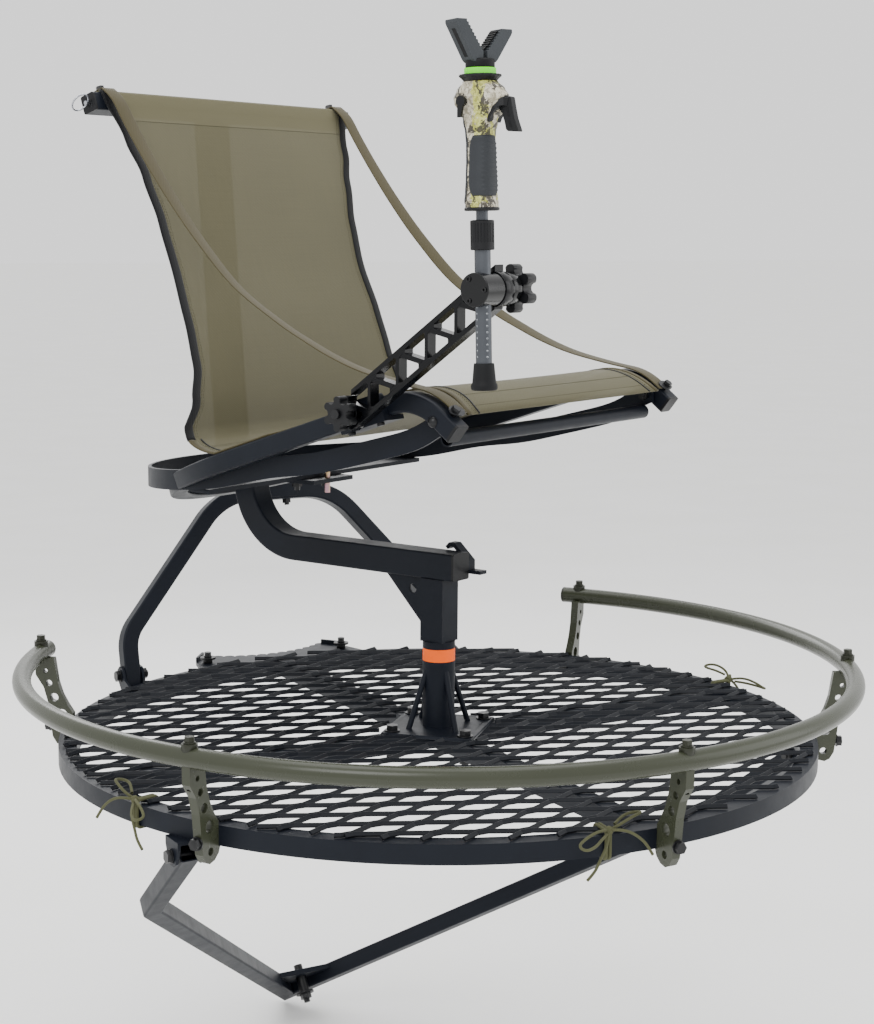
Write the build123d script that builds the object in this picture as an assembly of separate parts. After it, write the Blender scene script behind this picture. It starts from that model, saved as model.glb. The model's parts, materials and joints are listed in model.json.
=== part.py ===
from build123d import *
import os
from math import asin, atan2, cos, degrees, hypot, radians, sin, sqrt, tan

# Hang-on tree stand with a swivelling sling seat and a gun-rest stick, in millimetres.
# The row frame: origin where the blade's notch bears on the tree, +Y towards the tree, +Z up.
# The platform's top face is z = 0. The seat and what it carries are drawn in the seat frame
# (x across the seat, y forwards, z up, on the swivel axis) and turned into place.

# ---- driving dimensions ------------------------------------------------------------------
RIM_R = 533.0            # platform's outside radius
TUBE = 25.4              # square tube of rim, spokes, arch, brace and seat frame
ARM_TUBE = 38.1          # square tube of swivel socket, seat arm and spine
WALL = 1.6               # wall of the 25.4 mm tubes
ARM_WALL = 2.0           # wall of the 38.1 mm tubes
CORNER = 3.0             # outside corner radius of the square tubes
TREE_Y = 563.0           # platform centre to the notch of the tree blade
TRUNK_R = 171.0          # radius of the blade's toothed edge
MESH_T = 3.0             # expanded sheet
MESH_LONG = 95.6         # long way of one diamond, along X
MESH_SHORT = 43.6        # short way of one diamond, along Y
MESH_BOND = (-249.8, -301.0)  # centre of one of the bonds between diamonds
HUB_SIDE = 132.0         # square hub plate, turned 45 degrees
HUB_T = 5.0
POST_R = 23.0
SPINDLE_R = 17.0
FIT = 0.05               # radial clearance of every running fit
RAIL_R = 580.0           # foot rail's centreline radius
RAIL_Z = 93.0
RAIL_TUBE_R = 12.7
RAIL_START = 141.5       # azimuth where the foot rail starts, anticlockwise
RAIL_SWEEP = 257.0
BRACKET_AZIMUTHS = (-90, -150, -30, 144, 36)
ARCH_X = 279.0           # half the arch's spread at its feet
ARCH_TOP_X = 98.6
ARCH_Y = 479.0           # arch's plane at z = 0
ARCH_LEAN = 12.4         # degrees towards the tree
ARCH_TOP_Z = 275.0
ARCH_KNEE_Z = 70.0
ARCH_PIVOT_Z = 10.0
BRACE_Y = -229.0         # where the brace's plane starts under the rim
BRACE_Z = -41.0
BRACE_SLOPE = 35.8       # degrees down towards the tree
BRACE_X = 480.0
BRACE_KNEE = (460.5, 218.5)   # half spread and distance down the plane
BRACE_APEX = 906.0       # distance down the plane
BRACE_PIVOT = 10.0       # distance down the plane
STRAP_POST = (122.0, 543.0)
SEAT_TURN = -156.0       # how far the seat is turned about the swivel
SEAT_HALF = 261.0        # half the seat tube's spread
SEAT_SLOPE = 18.43       # degrees, rising forwards
SEAT_Z0 = 449.0          # height of the seat tube's centreline above the swivel axis
SEAT_REAR_Y = -153.0     # where the seat tube starts to curve round the back
SEAT_FRONT_Y = 118.0     # where the seat tube starts to bend down in front
SEAT_FRONT_R = 80.0
SEAT_FRONT_DROP = 38.0   # degrees below level at the front ends
SEAT_FRONT_STUB = 27.0
HOOP_HALF = 243.0        # flat-bar hoop's centreline half spread
HOOP_BAR = (5.0, 28.0)   # hoop's thickness and height
HOOP_REAR_Y = -223.0
ARM_Z = 237.0            # centre height of the level part of the seat arm
ARM_REAR_Y = -351.0
ARM_BEND_R = 95.0
SEAT_PLATE_Z = 338.0     # underside of the plate on top of the arm
HINGE = (-388.0, 372.0)  # backrest hinge, y and z in the seat frame
SPINE_TOP = (-428.0, 890.0)
BAR = (-396.0, 872.0)    # backrest's top bar
BAR_HALF = 275.0
CLOTH = 3.0              # thickness of the sling's plain solid
CLOTH_GAP = 0.4
STRAP_X = 249.0          # webbing straps, half spread
STRAP = (25.0, 2.0)      # webbing's width and thickness
PIVOT = (79.0, 478.0)    # lower pivot of the gun-rest arm, y and z in the seat frame
HUB = (294.0, 636.0)     # clamp hub at the arm's upper end
TRUSS_X = (286.0, 304.0)
STICK_X = 322.0
STICK_LEAN = 1.6         # degrees, top backwards
STICK_R = 9.5
INNER_R = 7.0            # stick's inner tube

parts = {}


def node(name, *shapes):
    """Keeps the solids of one named piece, or of one group of identical pieces."""
    solids = []
    for shape in shapes:
        solids.extend(shape.solids())
    parts[name] = solids


# ---- general shapes ----------------------------------------------------------------------
def slab(x0, x1, y0, y1, z0, z1):
    return Pos((x0 + x1) / 2, (y0 + y1) / 2, (z0 + z1) / 2) * Box(x1 - x0, y1 - y0, z1 - z0)


def rod(start, end, radius):
    start, end = Vector(*start), Vector(*end)
    plane = Plane(origin=start, z_dir=end - start)
    return plane.location * Cylinder(radius, (end - start).length, align=(Align.CENTER, Align.CENTER, Align.MIN))


def pipe(start, end, radius, bore):
    return rod(start, end, radius) - rod(start, end, bore)


def side_shape(points, x0, x1):
    """A flat shape drawn in the y-z plane, from x0 to x1."""
    face = make_face(Polyline(*[(0, y, z) for y, z in points], close=True))
    return Pos(x0, 0, 0) * extrude(face, amount=x1 - x0, dir=(1, 0, 0))


def plan_shape(points, z0, z1):
    """A flat shape drawn in the x-y plane, from z0 to z1."""
    face = make_face(Polyline(*[(x, y, z0) for x, y in points], close=True))
    return extrude(face, amount=z1 - z0, dir=(0, 0, 1))


def hexagon(across_flats, height):
    face = RegularPolygon(across_flats / 2, 6, major_radius=False)
    return extrude(face, amount=height)


def bolt(radius, length, across_flats=0.0, head=6.0, flange=0.0, dome=0.0):
    """Bolt along Z with its bearing face at z = 0, head above it and shank below."""
    shape = Pos(0, 0, -length) * Cylinder(radius, length, align=(Align.CENTER, Align.CENTER, Align.MIN))
    base = 0.0
    if flange:
        base = 1.8
        shape += Cylinder(flange, base, align=(Align.CENTER, Align.CENTER, Align.MIN))
    if across_flats:
        shape += Pos(0, 0, base) * hexagon(across_flats, head)
    if dome:
        cap = Pos(0, 0, base + dome * 0.6 - dome) * Sphere(dome)
        shape += cap & slab(-dome, dome, -dome, dome, base, base + dome)
    return shape


def nut(radius, across_flats, height):
    """Nut below z = 0 on a shank of the given radius."""
    return Pos(0, 0, -height) * hexagon(across_flats, height) - Cylinder(radius, 3 * height)


def washer(outer, inner, thickness):
    low = (Align.CENTER, Align.CENTER, Align.MIN)
    return Cylinder(outer, thickness, align=low) - Cylinder(inner, thickness, align=low)


def aim(point, direction, x_dir=None):
    return Plane(origin=point, z_dir=direction, x_dir=x_dir).location


def swept(path, side, radius, flat):
    """Solid square bar along a flat path; flat is the normal of the plane the path lies in."""
    section = Plane(origin=path @ 0, z_dir=path % 0, x_dir=flat)
    return sweep(section * RectangleRounded(side, side, radius), path=path)


def square_tube(path, side, wall, flat):
    return swept(path, side, CORNER, flat) - swept(path, side - 2 * wall, CORNER - wall + 0.4, flat)


def both_sides(shape):
    return [shape, mirror(shape, about=Plane.YZ)]


# ---- platform ----------------------------------------------------------------------------
def polar(azimuth, radius, z=0.0):
    return (radius * cos(radians(azimuth)), radius * sin(radians(azimuth)), z)


def ring(r0, r1, z0, z1):
    return Pos(0, 0, z0) * (extrude(Circle(r1) - Circle(r0), amount=z1 - z0))


def rim_ring():
    """Rolled square tube with two weep holes underneath."""
    section = Rectangle(TUBE, TUBE) - Rectangle(TUBE - 2 * WALL, TUBE - 2 * WALL)
    ring_face = Plane.XZ * Pos(RIM_R - TUBE / 2, -TUBE / 2) * section
    shape = revolve(ring_face, Axis.Z)
    for azimuth in (-100, 80):
        x, y, z = polar(azimuth, RIM_R - TUBE / 2, -TUBE - 1)
        shape -= rod((x, y, z), (x, y, z + WALL + 2), 3.0)
    for azimuth in BRACKET_AZIMUTHS:
        shape -= rod(polar(azimuth, RIM_R - TUBE - 2, BRACKET_BOLT_Z), polar(azimuth, RIM_R + 2, BRACKET_BOLT_Z), 4.1)
    return shape


BRACKET_BOLT_Z = -14.5
RIM_SOLID = ring(RIM_R - TUBE, RIM_R, -TUBE, 0)
HUB_BOLT_R = 75.0


def spokes():
    """One spoke across and two butted against it, drilled for the hub bolts."""
    reach = RIM_R - TUBE / 2

    def bar(length):
        return Box(length, TUBE, TUBE) - Box(length, TUBE - 2 * WALL, TUBE - 2 * WALL)

    half = reach - TUBE / 2
    across = Pos(0, 0, -TUBE / 2) * bar(2 * reach)
    halves = [Pos(0, side * (TUBE / 2 + half / 2), -TUBE / 2) * Rot(0, 0, 90) * bar(half) for side in (-1, 1)]
    holes = [rod(polar(a, HUB_BOLT_R, 1), polar(a, HUB_BOLT_R, -TUBE - 1), 5.2) for a in range(0, 360, 90)]
    shapes = []
    for shape in [across] + halves:
        shape = shape - RIM_SOLID
        for hole in holes:
            shape = shape - hole
        shapes.append(shape)
    return shapes


def mesh_grille():
    """Expanded sheet lying on the rim, with a square window round the hub plate."""
    half_long = MESH_LONG / 2 - 8.5
    half_short = MESH_SHORT / 2 - 2.6
    tip = 2.2
    edge = RIM_R - 14
    holes = []
    count = int(edge / MESH_SHORT) + 2
    for row in range(-count, 3 * count + 6):
        y = MESH_BOND[1] + row * MESH_SHORT / 2
        shift = MESH_LONG / 2 if row % 2 == 0 else 0.0
        for column in range(-8, 16):
            x = MESH_BOND[0] + shift + column * MESH_LONG
            if hypot(x, y) > edge + 20:
                continue
            outline = [(x - half_long, y - tip), (x, y - half_short), (x + half_long, y - tip),
                       (x + half_long, y + tip), (x, y + half_short), (x - half_long, y + tip)]
            holes.append(make_face(Polyline(*outline, close=True)))
    window = Rot(0, 0, 45) * Rectangle(HUB_SIDE + 14, HUB_SIDE + 14)
    sheet = Circle(edge) - window
    sheet = sheet - holes
    border = Circle(edge) - Circle(edge - 4)
    frame = (Rot(0, 0, 45) * Rectangle(HUB_SIDE + 20, HUB_SIDE + 20)) - window
    grid = sheet + border + frame
    return extrude(grid, amount=MESH_T)


def hub_plate():
    plate = Rot(0, 0, 45) * Pos(0, 0, HUB_T / 2) * Box(HUB_SIDE, HUB_SIDE, HUB_T)
    for azimuth in range(0, 360, 90):
        plate -= rod(polar(azimuth, HUB_BOLT_R, -1), polar(azimuth, HUB_BOLT_R, HUB_T + 1), 5.2)
    return plate


def hub_bolts():
    shapes = []
    for azimuth in range(0, 360, 90):
        shapes.append(Pos(*polar(azimuth, HUB_BOLT_R, HUB_T)) * bolt(5, HUB_T + TUBE + 11, 15, 7, 11))
        shapes.append(Pos(*polar(azimuth, HUB_BOLT_R, -TUBE)) * nut(5, 16, 8))
    return shapes


POST_TOP = 100.0
SPINDLE_TOP = 212.0
BUSHING_TOP = 117.8
GROOVE_Z = 185.0


def swivel_post():
    """Post, spindle and the groove that the socket's keeper screw runs in."""
    outline = [(12, HUB_T), (POST_R, HUB_T), (POST_R, POST_TOP), (SPINDLE_R, POST_TOP),
               (SPINDLE_R, GROOVE_Z - 5), (SPINDLE_R - 3, GROOVE_Z - 5), (SPINDLE_R - 3, GROOVE_Z + 5),
               (SPINDLE_R, GROOVE_Z + 5), (SPINDLE_R, SPINDLE_TOP), (12, SPINDLE_TOP)]
    face = make_face(Polyline(*[(r, 0, z) for r, z in outline], close=True))
    return revolve(face, Axis.Z)


def gusset_rods():
    post = Cylinder(POST_R, 400)
    below = slab(-200, 200, -200, 200, -50, HUB_T)
    shapes = []
    for azimuth in range(0, 360, 90):
        bar = rod(polar(azimuth, 50, 0), polar(azimuth, 20, 86), 4)
        shapes.append(bar - post - below)
    return shapes


def swivel_bushing():
    return pipe((0, 0, POST_TOP), (0, 0, BUSHING_TOP), POST_R, SPINDLE_R)


def rail_pipe(radius, grow=0.0):
    section = Plane.XZ * Pos(RAIL_R, RAIL_Z) * Circle(radius)
    span = RAIL_SWEEP + 2 * grow
    return Rot(0, 0, RAIL_START - grow) * revolve(section, Axis.Z, revolution_arc=span)


def foot_rail():
    shape = rail_pipe(RAIL_TUBE_R) - rail_pipe(RAIL_TUBE_R - WALL)
    for azimuth in BRACKET_AZIMUTHS:
        low, high = polar(azimuth, RAIL_R, RAIL_Z - 20), polar(azimuth, RAIL_R, RAIL_Z + 20)
        shape -= rod(low, high, 4.2)
    return shape


def rail_end_caps():
    """Rounded plastic plugs in the rail's two ends."""
    shapes = []
    for azimuth, way in ((RAIL_START, -1), (RAIL_START + RAIL_SWEEP, 1)):
        seat = Plane(origin=polar(azimuth, RAIL_R, RAIL_Z),
                     z_dir=(way * -sin(radians(azimuth)), way * cos(radians(azimuth)), 0))
        cap = Cylinder(RAIL_TUBE_R, 4, align=(Align.CENTER, Align.CENTER, Align.MIN))
        cap = fillet(cap.edges().group_by(Axis.Z)[-1], 2.5)
        plug = Pos(0, 0, -10) * Cylinder(RAIL_TUBE_R - WALL - 0.5, 10, align=(Align.CENTER, Align.CENTER, Align.MIN))
        shapes.append(seat.location * (cap + plug))
    return shapes


BRACKET_T = 12.0
BRACKET_OUTLINE = [(55.0, 86), (54.5, 61), (43, 43), (37, 21), (34, -8), (31, -30), (25, -40), (18, -43.5),
                   (8, -41), (0, -34), (-3, -26.2), (0.15, -26.2), (0.15, 5), (8, 17), (16, 32), (22, 51), (27, 86)]
BRACKET_HOLES = [(40, 67, 3.5), (35, 49, 4.8), (27.5, 28, 6.2), (17, 2.5, 8.3), (16, -28.5, 5.0)]


def rail_bracket(azimuth):
    """Cast bracket from the rim's face up to the rail, standing in a radial plane."""
    face = make_face(Polyline(*[(RIM_R + r, 0, z) for r, z in BRACKET_OUTLINE], close=True))
    shape = Pos(0, BRACKET_T / 2, 0) * extrude(face, amount=BRACKET_T, dir=(0, -1, 0))
    for r, z, radius in BRACKET_HOLES:
        shape -= rod((RIM_R + r, -20, z), (RIM_R + r, 20, z), radius)
    shape -= rod((RIM_R - 9, 0, BRACKET_BOLT_Z), (RIM_R + 60, 0, BRACKET_BOLT_Z), 4.1)
    shape -= rod((RAIL_R, 0, RAIL_Z - 40), (RAIL_R, 0, RAIL_Z + 5), 4.0)
    shape = Rot(0, 0, azimuth) * shape
    return shape - rail_pipe(RAIL_TUBE_R, 2)


def rail_bolts():
    """Saddle washer on the rail and the bolt that goes down into the bracket."""
    shapes = []
    rail = rail_pipe(RAIL_TUBE_R, 2)
    top = RAIL_Z + RAIL_TUBE_R + 4.5
    for azimuth in BRACKET_AZIMUTHS:
        spot = Pos(*polar(azimuth, RAIL_R, 0))
        saddle = spot * pipe((0, 0, RAIL_Z + 4), (0, 0, top), 9.8, 4.2)
        shapes.append((saddle - rail).solids().sort_by(Axis.Z)[-1])
        shapes.append(spot * Pos(0, 0, top) * bolt(4, 54, 11, 6.5, 7.5))
    return shapes


BRACKET_BOLT_FACE = 33.2


def bracket_bolts():
    """Radial bolts through the brackets and the rim, with nuts inside."""
    shapes = []
    for azimuth in BRACKET_AZIMUTHS:
        out = Vector(*polar(azimuth, 1))
        head = aim(polar(azimuth, RIM_R + BRACKET_BOLT_FACE + 1.3, BRACKET_BOLT_Z), out)
        shapes.append(head * bolt(4, BRACKET_BOLT_FACE + TUBE + 9, 13, 6, 8.5))
        shapes.append(aim(polar(azimuth, RIM_R - TUBE - 0.2, BRACKET_BOLT_Z), out) * nut(4, 13, 6.5))
    return shapes


BLADE_T = 6.0
TEETH = 13
TOOTH = 8.0
BLADE_ANGLE = 38.4


def tree_blade():
    """Plate behind the rim whose scalloped edge bites the trunk, with an upstand on each wing."""
    centre = TREE_Y + TRUNK_R

    def edge(angle, depth):
        radius = TRUNK_R + depth
        return (radius * sin(radians(angle)), centre - radius * cos(radians(angle)), -BLADE_T)

    step = 2 * BLADE_ANGLE / TEETH
    lines = []
    for tooth in range(TEETH):
        start = -BLADE_ANGLE + tooth * step
        lines.append(ThreePointArc(edge(start, TOOTH), edge(start + step / 2, 0), edge(start + step, TOOTH)))
    right = edge(BLADE_ANGLE, TOOTH)
    corner = (136, 560, -BLADE_T)
    root = (150, 505, -BLADE_T)
    lines.append(Polyline(right, corner, root, (-root[0], root[1], root[2]),
                          (-corner[0], corner[1], corner[2]), (-right[0], right[1], right[2])))
    plate = extrude(make_face(lines), amount=BLADE_T, dir=(0, 0, 1)) - Cylinder(RIM_R, 100)
    shape = plate
    for side in (-1, 1):
        a, b = Vector(side * right[0], right[1], 0), Vector(side * corner[0], corner[1], 0)
        run = (b - a).normalized()
        inward = Vector(-side * run.Y * -1, side * run.X * -1, 0) * 4
        outline = [(a.X, a.Y), (b.X, b.Y), (b.X + inward.X, b.Y + inward.Y), (a.X + inward.X, a.Y + inward.Y)]
        shape += plan_shape(outline, -BLADE_T, 7)
        shape -= rod((side * STRAP_POST[0], STRAP_POST[1], -20), (side * STRAP_POST[0], STRAP_POST[1], 20), 5.2)
    return shape


def strap_post(spacer, washer_r, shank, nut_gap):
    """Headed post that a strap's loop hooks on, standing on z = 0 with a nut below nut_gap."""
    return [pipe((0, 0, 0), (0, 0, spacer), 7.5, 5),
            Pos(0, 0, spacer) * washer(washer_r, 5, 3),
            Pos(0, 0, spacer + 3) * bolt(5, shank, 0, 0, 6.5) + Pos(0, 0, spacer + 3) * Cylinder(
                5.5, 8, align=(Align.CENTER, Align.CENTER, Align.MIN)),
            Pos(0, 0, -nut_gap) * nut(5, 16, 8)]


def strap_posts():
    shapes = []
    for side in (-1, 1):
        for shape in strap_post(7, 12.5, 27, BLADE_T):
            shapes.append(Pos(side * STRAP_POST[0], STRAP_POST[1], 0) * shape)
    return shapes


ARCH_PIVOT_Y = ARCH_Y + ARCH_PIVOT_Z * tan(radians(ARCH_LEAN))
EAR_T = 4.0
EAR_GAP = 0.6
PIN_R = 5.0


def arch_clevises():
    """Pairs of ears welded to the rim's outer face."""
    y, z = ARCH_PIVOT_Y, ARCH_PIVOT_Z
    outline = [(440, -24), (468, -24), (y + 13, z - 6), (y + 13, z + 7), (y + 5, z + 14), (y - 8, z + 13),
               (y - 18, z - 4), (440, -2)]
    shapes = []
    for side in (-1, 1):
        for inner in (-1, 1):
            near = side * ARCH_X + inner * (TUBE / 2 + EAR_GAP)
            far = near + inner * EAR_T
            ear = side_shape(outline, min(near, far), max(near, far)) - Cylinder(RIM_R, 200)
            shapes.append(ear - rod((near - 9, y, z), (near + 9, y, z), PIN_R))
    return shapes


BRACE_EAR = 15.5
BRACE_BASE_T = 4.0


def down_plane(x, along, out=0.0):
    """A point of the brace's plane: along it towards the tree, and out along its upward normal."""
    a = radians(BRACE_SLOPE)
    return (x, BRACE_Y + along * cos(a) + out * sin(a), BRACE_Z - along * sin(a) + out * cos(a))


BRACE_PIVOT_X = BRACE_X - (BRACE_X - BRACE_KNEE[0]) * BRACE_PIVOT / BRACE_KNEE[1]
BRACE_PIVOT_AT = down_plane(BRACE_PIVOT_X, BRACE_PIVOT)


def brace_clevises():
    """Channels under the rim that hold the brace's ends."""
    x, y, z = BRACE_PIVOT_AT
    top = -TUBE
    outline = [(y - 20, top), (y + 20, top), (y + 20, top - 10), (y + 12, z - 8), (y + 5, z - 13),
               (y - 5, z - 13), (y - 12, z - 8), (y - 20, top - 10)]
    low, high = x - BRACE_EAR - EAR_T, x + BRACE_EAR + EAR_T
    shape = slab(low, high, y - 20, y + 20, top - BRACE_BASE_T, top)
    shape += side_shape(outline, low, low + EAR_T)
    shape += side_shape(outline, high - EAR_T, high)
    shape -= rod((low - 5, y, z), (high + 5, y, z), PIN_R)
    return both_sides(shape)


def pivot_bolts():
    """Hinge bolts of the arch and of the brace, each with its nut."""
    shapes = []
    x, y, z = BRACE_PIVOT_AT
    spots = [(ARCH_X, ARCH_PIVOT_Y, ARCH_PIVOT_Z, TUBE / 2 + EAR_GAP + EAR_T), (x, y, z, BRACE_EAR + EAR_T)]
    for x, y, z, reach in spots:
        pin = aim((x + reach, y, z), (1, 0, 0)) * bolt(PIN_R, 2 * reach + 10, 15, 6, 9)
        shapes.extend(both_sides(pin))
        shapes.extend(both_sides(aim((x - reach, y, z), (1, 0, 0)) * nut(PIN_R, 15, 8)))
    return shapes


TIE_AZIMUTHS = (-164, -98, 2)
TIE_R = 2.2


def rim_ties():
    """Cord turns knotted round the rim."""
    shapes = []
    for azimuth in TIE_AZIMUTHS:
        r0, r1, z0, z1 = RIM_R - TUBE - 3, RIM_R + 3, -TUBE - 3, MESH_T + 3.4
        loop = FilletPolyline((r0, 0, z0), (r1, 0, z0), (r1, 0, z1), (r0, 0, z1), radius=5, close=True)
        section = Plane(origin=loop @ 0, z_dir=loop % 0) * Circle(TIE_R)
        turn = sweep(section, path=loop)
        for shift in (-2.4, 2.4):
            shapes.append(Rot(0, 0, azimuth) * Pos(0, shift, 0) * turn)
    return shapes


# ---- folding arch ------------------------------------------------------------------------
def arch_point(x, z):
    return (x, ARCH_Y + z * tan(radians(ARCH_LEAN)), z)


def arch_tube():
    foot = ARCH_PIVOT_Z - 20
    points = [arch_point(-ARCH_X, foot), arch_point(-ARCH_X, ARCH_KNEE_Z), arch_point(-ARCH_TOP_X, ARCH_TOP_Z),
              arch_point(ARCH_TOP_X, ARCH_TOP_Z), arch_point(ARCH_X, ARCH_KNEE_Z), arch_point(ARCH_X, foot)]
    path = FilletPolyline(*points, radius=[60, 110, 110, 60])
    lean = radians(ARCH_LEAN)
    shape = square_tube(path, TUBE, WALL, (0, -cos(lean), sin(lean)))
    shape -= rod((-400, ARCH_PIVOT_Y, ARCH_PIVOT_Z), (400, ARCH_PIVOT_Y, ARCH_PIVOT_Z), PIN_R + FIT)
    for x in (-18, 18):
        shape -= ARCH_TOP * rod((x, 0, -30), (x, 0, 30), 4.2)
    return shape


ARCH_TOP = Pos(*arch_point(0, ARCH_TOP_Z)) * Rot(-ARCH_LEAN, 0, 0)


def arch_strap_bracket():
    """Folded plate on the arch's top bar, with a hook edge for the tree strap."""
    half = TUBE / 2
    shape = slab(-32, 32, -half, half + 3, half, half + 4)
    shape += slab(-32, 32, -half - 4, -half, half - 22, half + 4)
    shape += slab(-22, 22, half + 3, half + 7, half, half + 16)
    for x in (-18, 18):
        shape -= rod((x, 0, 0), (x, 0, 30), 4.2)
    return ARCH_TOP * shape


def arch_bolts():
    half = TUBE / 2
    shapes = []
    for x in (-18, 18):
        shapes.append(ARCH_TOP * Pos(x, 0, half + 4) * bolt(4, TUBE + 14, 13, 6, 8))
        shapes.append(ARCH_TOP * Pos(x, 0, -half) * nut(4, 13, 6.5))
    return shapes


# ---- folding brace -----------------------------------------------------------------------
def brace_tube():
    """V-shaped tube, mitred at its lower apex."""
    knee_x, knee = BRACE_KNEE
    lean = (BRACE_X - knee_x) / knee
    past = 60
    over = past * knee_x / (BRACE_APEX - knee)
    points = [down_plane(-BRACE_X, 0), down_plane(-knee_x, knee), down_plane(over, BRACE_APEX + past)]
    path = FilletPolyline(*points, radius=[20])
    a = radians(BRACE_SLOPE)
    half = square_tube(path, TUBE, WALL, (0, sin(a), cos(a))) - slab(0, 200, 0, 900, -900, 0)
    shape = half + mirror(half, about=Plane.YZ)
    x, y, z = BRACE_PIVOT_AT
    return shape - rod((-600, y, z), (600, y, z), PIN_R + FIT)


APEX_POST = 838.0
APEX_PLATE = (815.0, 875.0, 3.0, 11.0)


def leg_inner(along):
    """Half the clear width between the brace's legs."""
    knee_x, knee = BRACE_KNEE
    run = BRACE_APEX - knee
    return knee_x * (BRACE_APEX - along) / run - TUBE / 2 * hypot(knee_x, run) / run


def apex_plate():
    start, end, low, high = APEX_PLATE
    corners = [(leg_inner(start), start), (leg_inner(end), end)]
    outline = [down_plane(x, t, low) for x, t in corners] + [down_plane(-x, t, low) for x, t in reversed(corners)]
    a = radians(BRACE_SLOPE)
    plate = extrude(make_face(Polyline(*outline, close=True)), amount=high - low, dir=(0, sin(a), cos(a)))
    return plate - rod(down_plane(0, APEX_POST, -40), down_plane(0, APEX_POST, 40), 5.2)


def apex_strap_post():
    """Post for the lower tree strap, standing square to the brace, head up and spool below."""
    a = radians(BRACE_SLOPE)
    up = (0, sin(a), cos(a))
    low, high = APEX_PLATE[2], APEX_PLATE[3]
    head = aim(down_plane(0, APEX_POST, high), up)
    under = aim(down_plane(0, APEX_POST, low), up)
    return [head * (bolt(5, 51, 0, 0, 8.5) + Cylinder(7, 12, align=(Align.CENTER, Align.CENTER, Align.MIN))),
            under * pipe((0, 0, -26), (0, 0, 0), 8.5, 5),
            under * Pos(0, 0, -29) * washer(15, 5, 3),
            under * Pos(0, 0, -29) * nut(5, 16, 8)]


# ---- seat arm (seat frame) ---------------------------------------------------------------
def yz(y, z):
    return (0, y, z)


SOCKET = (118.0, 128.0, 217.9)   # collar's underside, socket's underside, socket's top


def socket_tube():
    half = ARM_TUBE / 2
    shape = slab(-half, half, -half, half, SOCKET[1], SOCKET[2])
    shape += rod((0, 0, SOCKET[0]), (0, 0, SOCKET[1]), POST_R)
    shape -= rod((0, 0, 0), (0, 0, 300), SPINDLE_R + FIT)
    return shape - rod((-10, 0, GROOVE_Z), (-40, 0, GROOVE_Z), 4.0)


def keeper_screw():
    """Screw whose tip runs in the spindle's groove, so the seat can't lift off."""
    return aim((-ARM_TUBE / 2, 0, GROOVE_Z), (-1, 0, 0)) * bolt(4.0, 4.3, 13, 5, 8)


def arm_bar(side, corner):
    """Solid square bar along the arm: a level run, a bend and an upright end."""
    section = RectangleRounded(side, side, corner)
    start_y, top_z = ARM_REAR_Y + ARM_BEND_R, ARM_Z + ARM_BEND_R
    level_end = Plane(origin=(0, start_y, ARM_Z), z_dir=(0, 1, 0), x_dir=(1, 0, 0)) * section
    upright_end = Plane(origin=(0, ARM_REAR_Y, top_z), z_dir=(0, 0, 1), x_dir=(1, 0, 0)) * section
    shape = extrude(level_end, amount=34 - start_y, dir=(0, 1, 0))
    shape += revolve(level_end, Axis((0, start_y, top_z), (1, 0, 0)), -90)
    shape += extrude(upright_end, amount=SEAT_PLATE_Z - top_z, dir=(0, 0, 1))
    return shape


def arm_tube():
    return arm_bar(ARM_TUBE, CORNER) - arm_bar(ARM_TUBE - 2 * ARM_WALL, CORNER - ARM_WALL + 0.4)


def arm_end_cap():
    half = ARM_TUBE / 2
    inner = half - ARM_WALL - 1.6
    cap = fillet(slab(-half, half, 34, 37.5, ARM_Z - half, ARM_Z + half).edges().filter_by(Axis.Y), CORNER)
    return cap + slab(-inner, inner, 22, 34, ARM_Z - inner, ARM_Z + inner)


def arm_gusset():
    half = ARM_TUBE / 2
    top = ARM_Z - half
    shape = side_shape([(-94, top), (-half, top), (-half, 146), (-half - 7, 146)], -2.5, 2.5)
    return shape - rod((-20, -45, 198), (20, -45, 198), 6.5)


def gear_hook():
    """Bent flat bar on the far side of the arm's front end, for hanging gear."""
    half = ARM_TUBE / 2
    outline = [(-2, ARM_Z - 12), (34, ARM_Z - 12), (57, ARM_Z - 12), (57, ARM_Z - 7), (37, ARM_Z - 7),
               (37, ARM_Z + 6), (12, ARM_Z + 29), (2, ARM_Z + 29), (-4, ARM_Z + 23), (0, ARM_Z + 19),
               (5, ARM_Z + 23), (10, ARM_Z + 23), (31, ARM_Z + 3), (31, ARM_Z - 7), (-2, ARM_Z - 7)]
    return side_shape(outline, -half - 16, -half)


PLATE_Y = (-396.0, -192.0)
PLATE_T = 6.0
STRAP_BARS = (-330.0, -235.0)
STRAP_BAR_W = 40.0
PLATE_BOLTS = [(x, y) for x in (-31, 31) for y in STRAP_BARS]
LOCK_PIN = (0.0, -203.5)
LOCK_PIN_R = 4.0


def arm_top_plate():
    plate = slab(-45, 45, *PLATE_Y, SEAT_PLATE_Z, SEAT_PLATE_Z + PLATE_T)
    for x, y in PLATE_BOLTS:
        plate -= rod((x, y, 300), (x, y, 400), 4.2)
    return plate - rod((*LOCK_PIN, 300), (*LOCK_PIN, 400), LOCK_PIN_R + FIT)


def seat_line(y):
    """Height of the seat tube's centreline at y."""
    return SEAT_Z0 + y * tan(radians(SEAT_SLOPE))


SLOPE = radians(SEAT_SLOPE)
DROP = radians(SEAT_FRONT_DROP)
FRONT_CENTRE = (SEAT_FRONT_Y + SEAT_FRONT_R * sin(SLOPE), seat_line(SEAT_FRONT_Y) - SEAT_FRONT_R * cos(SLOPE))
FRONT_END = (FRONT_CENTRE[0] + SEAT_FRONT_R * sin(DROP), FRONT_CENTRE[1] + SEAT_FRONT_R * cos(DROP))
STUB_END = (FRONT_END[0] + SEAT_FRONT_STUB * cos(DROP), FRONT_END[1] - SEAT_FRONT_STUB * sin(DROP))


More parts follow.
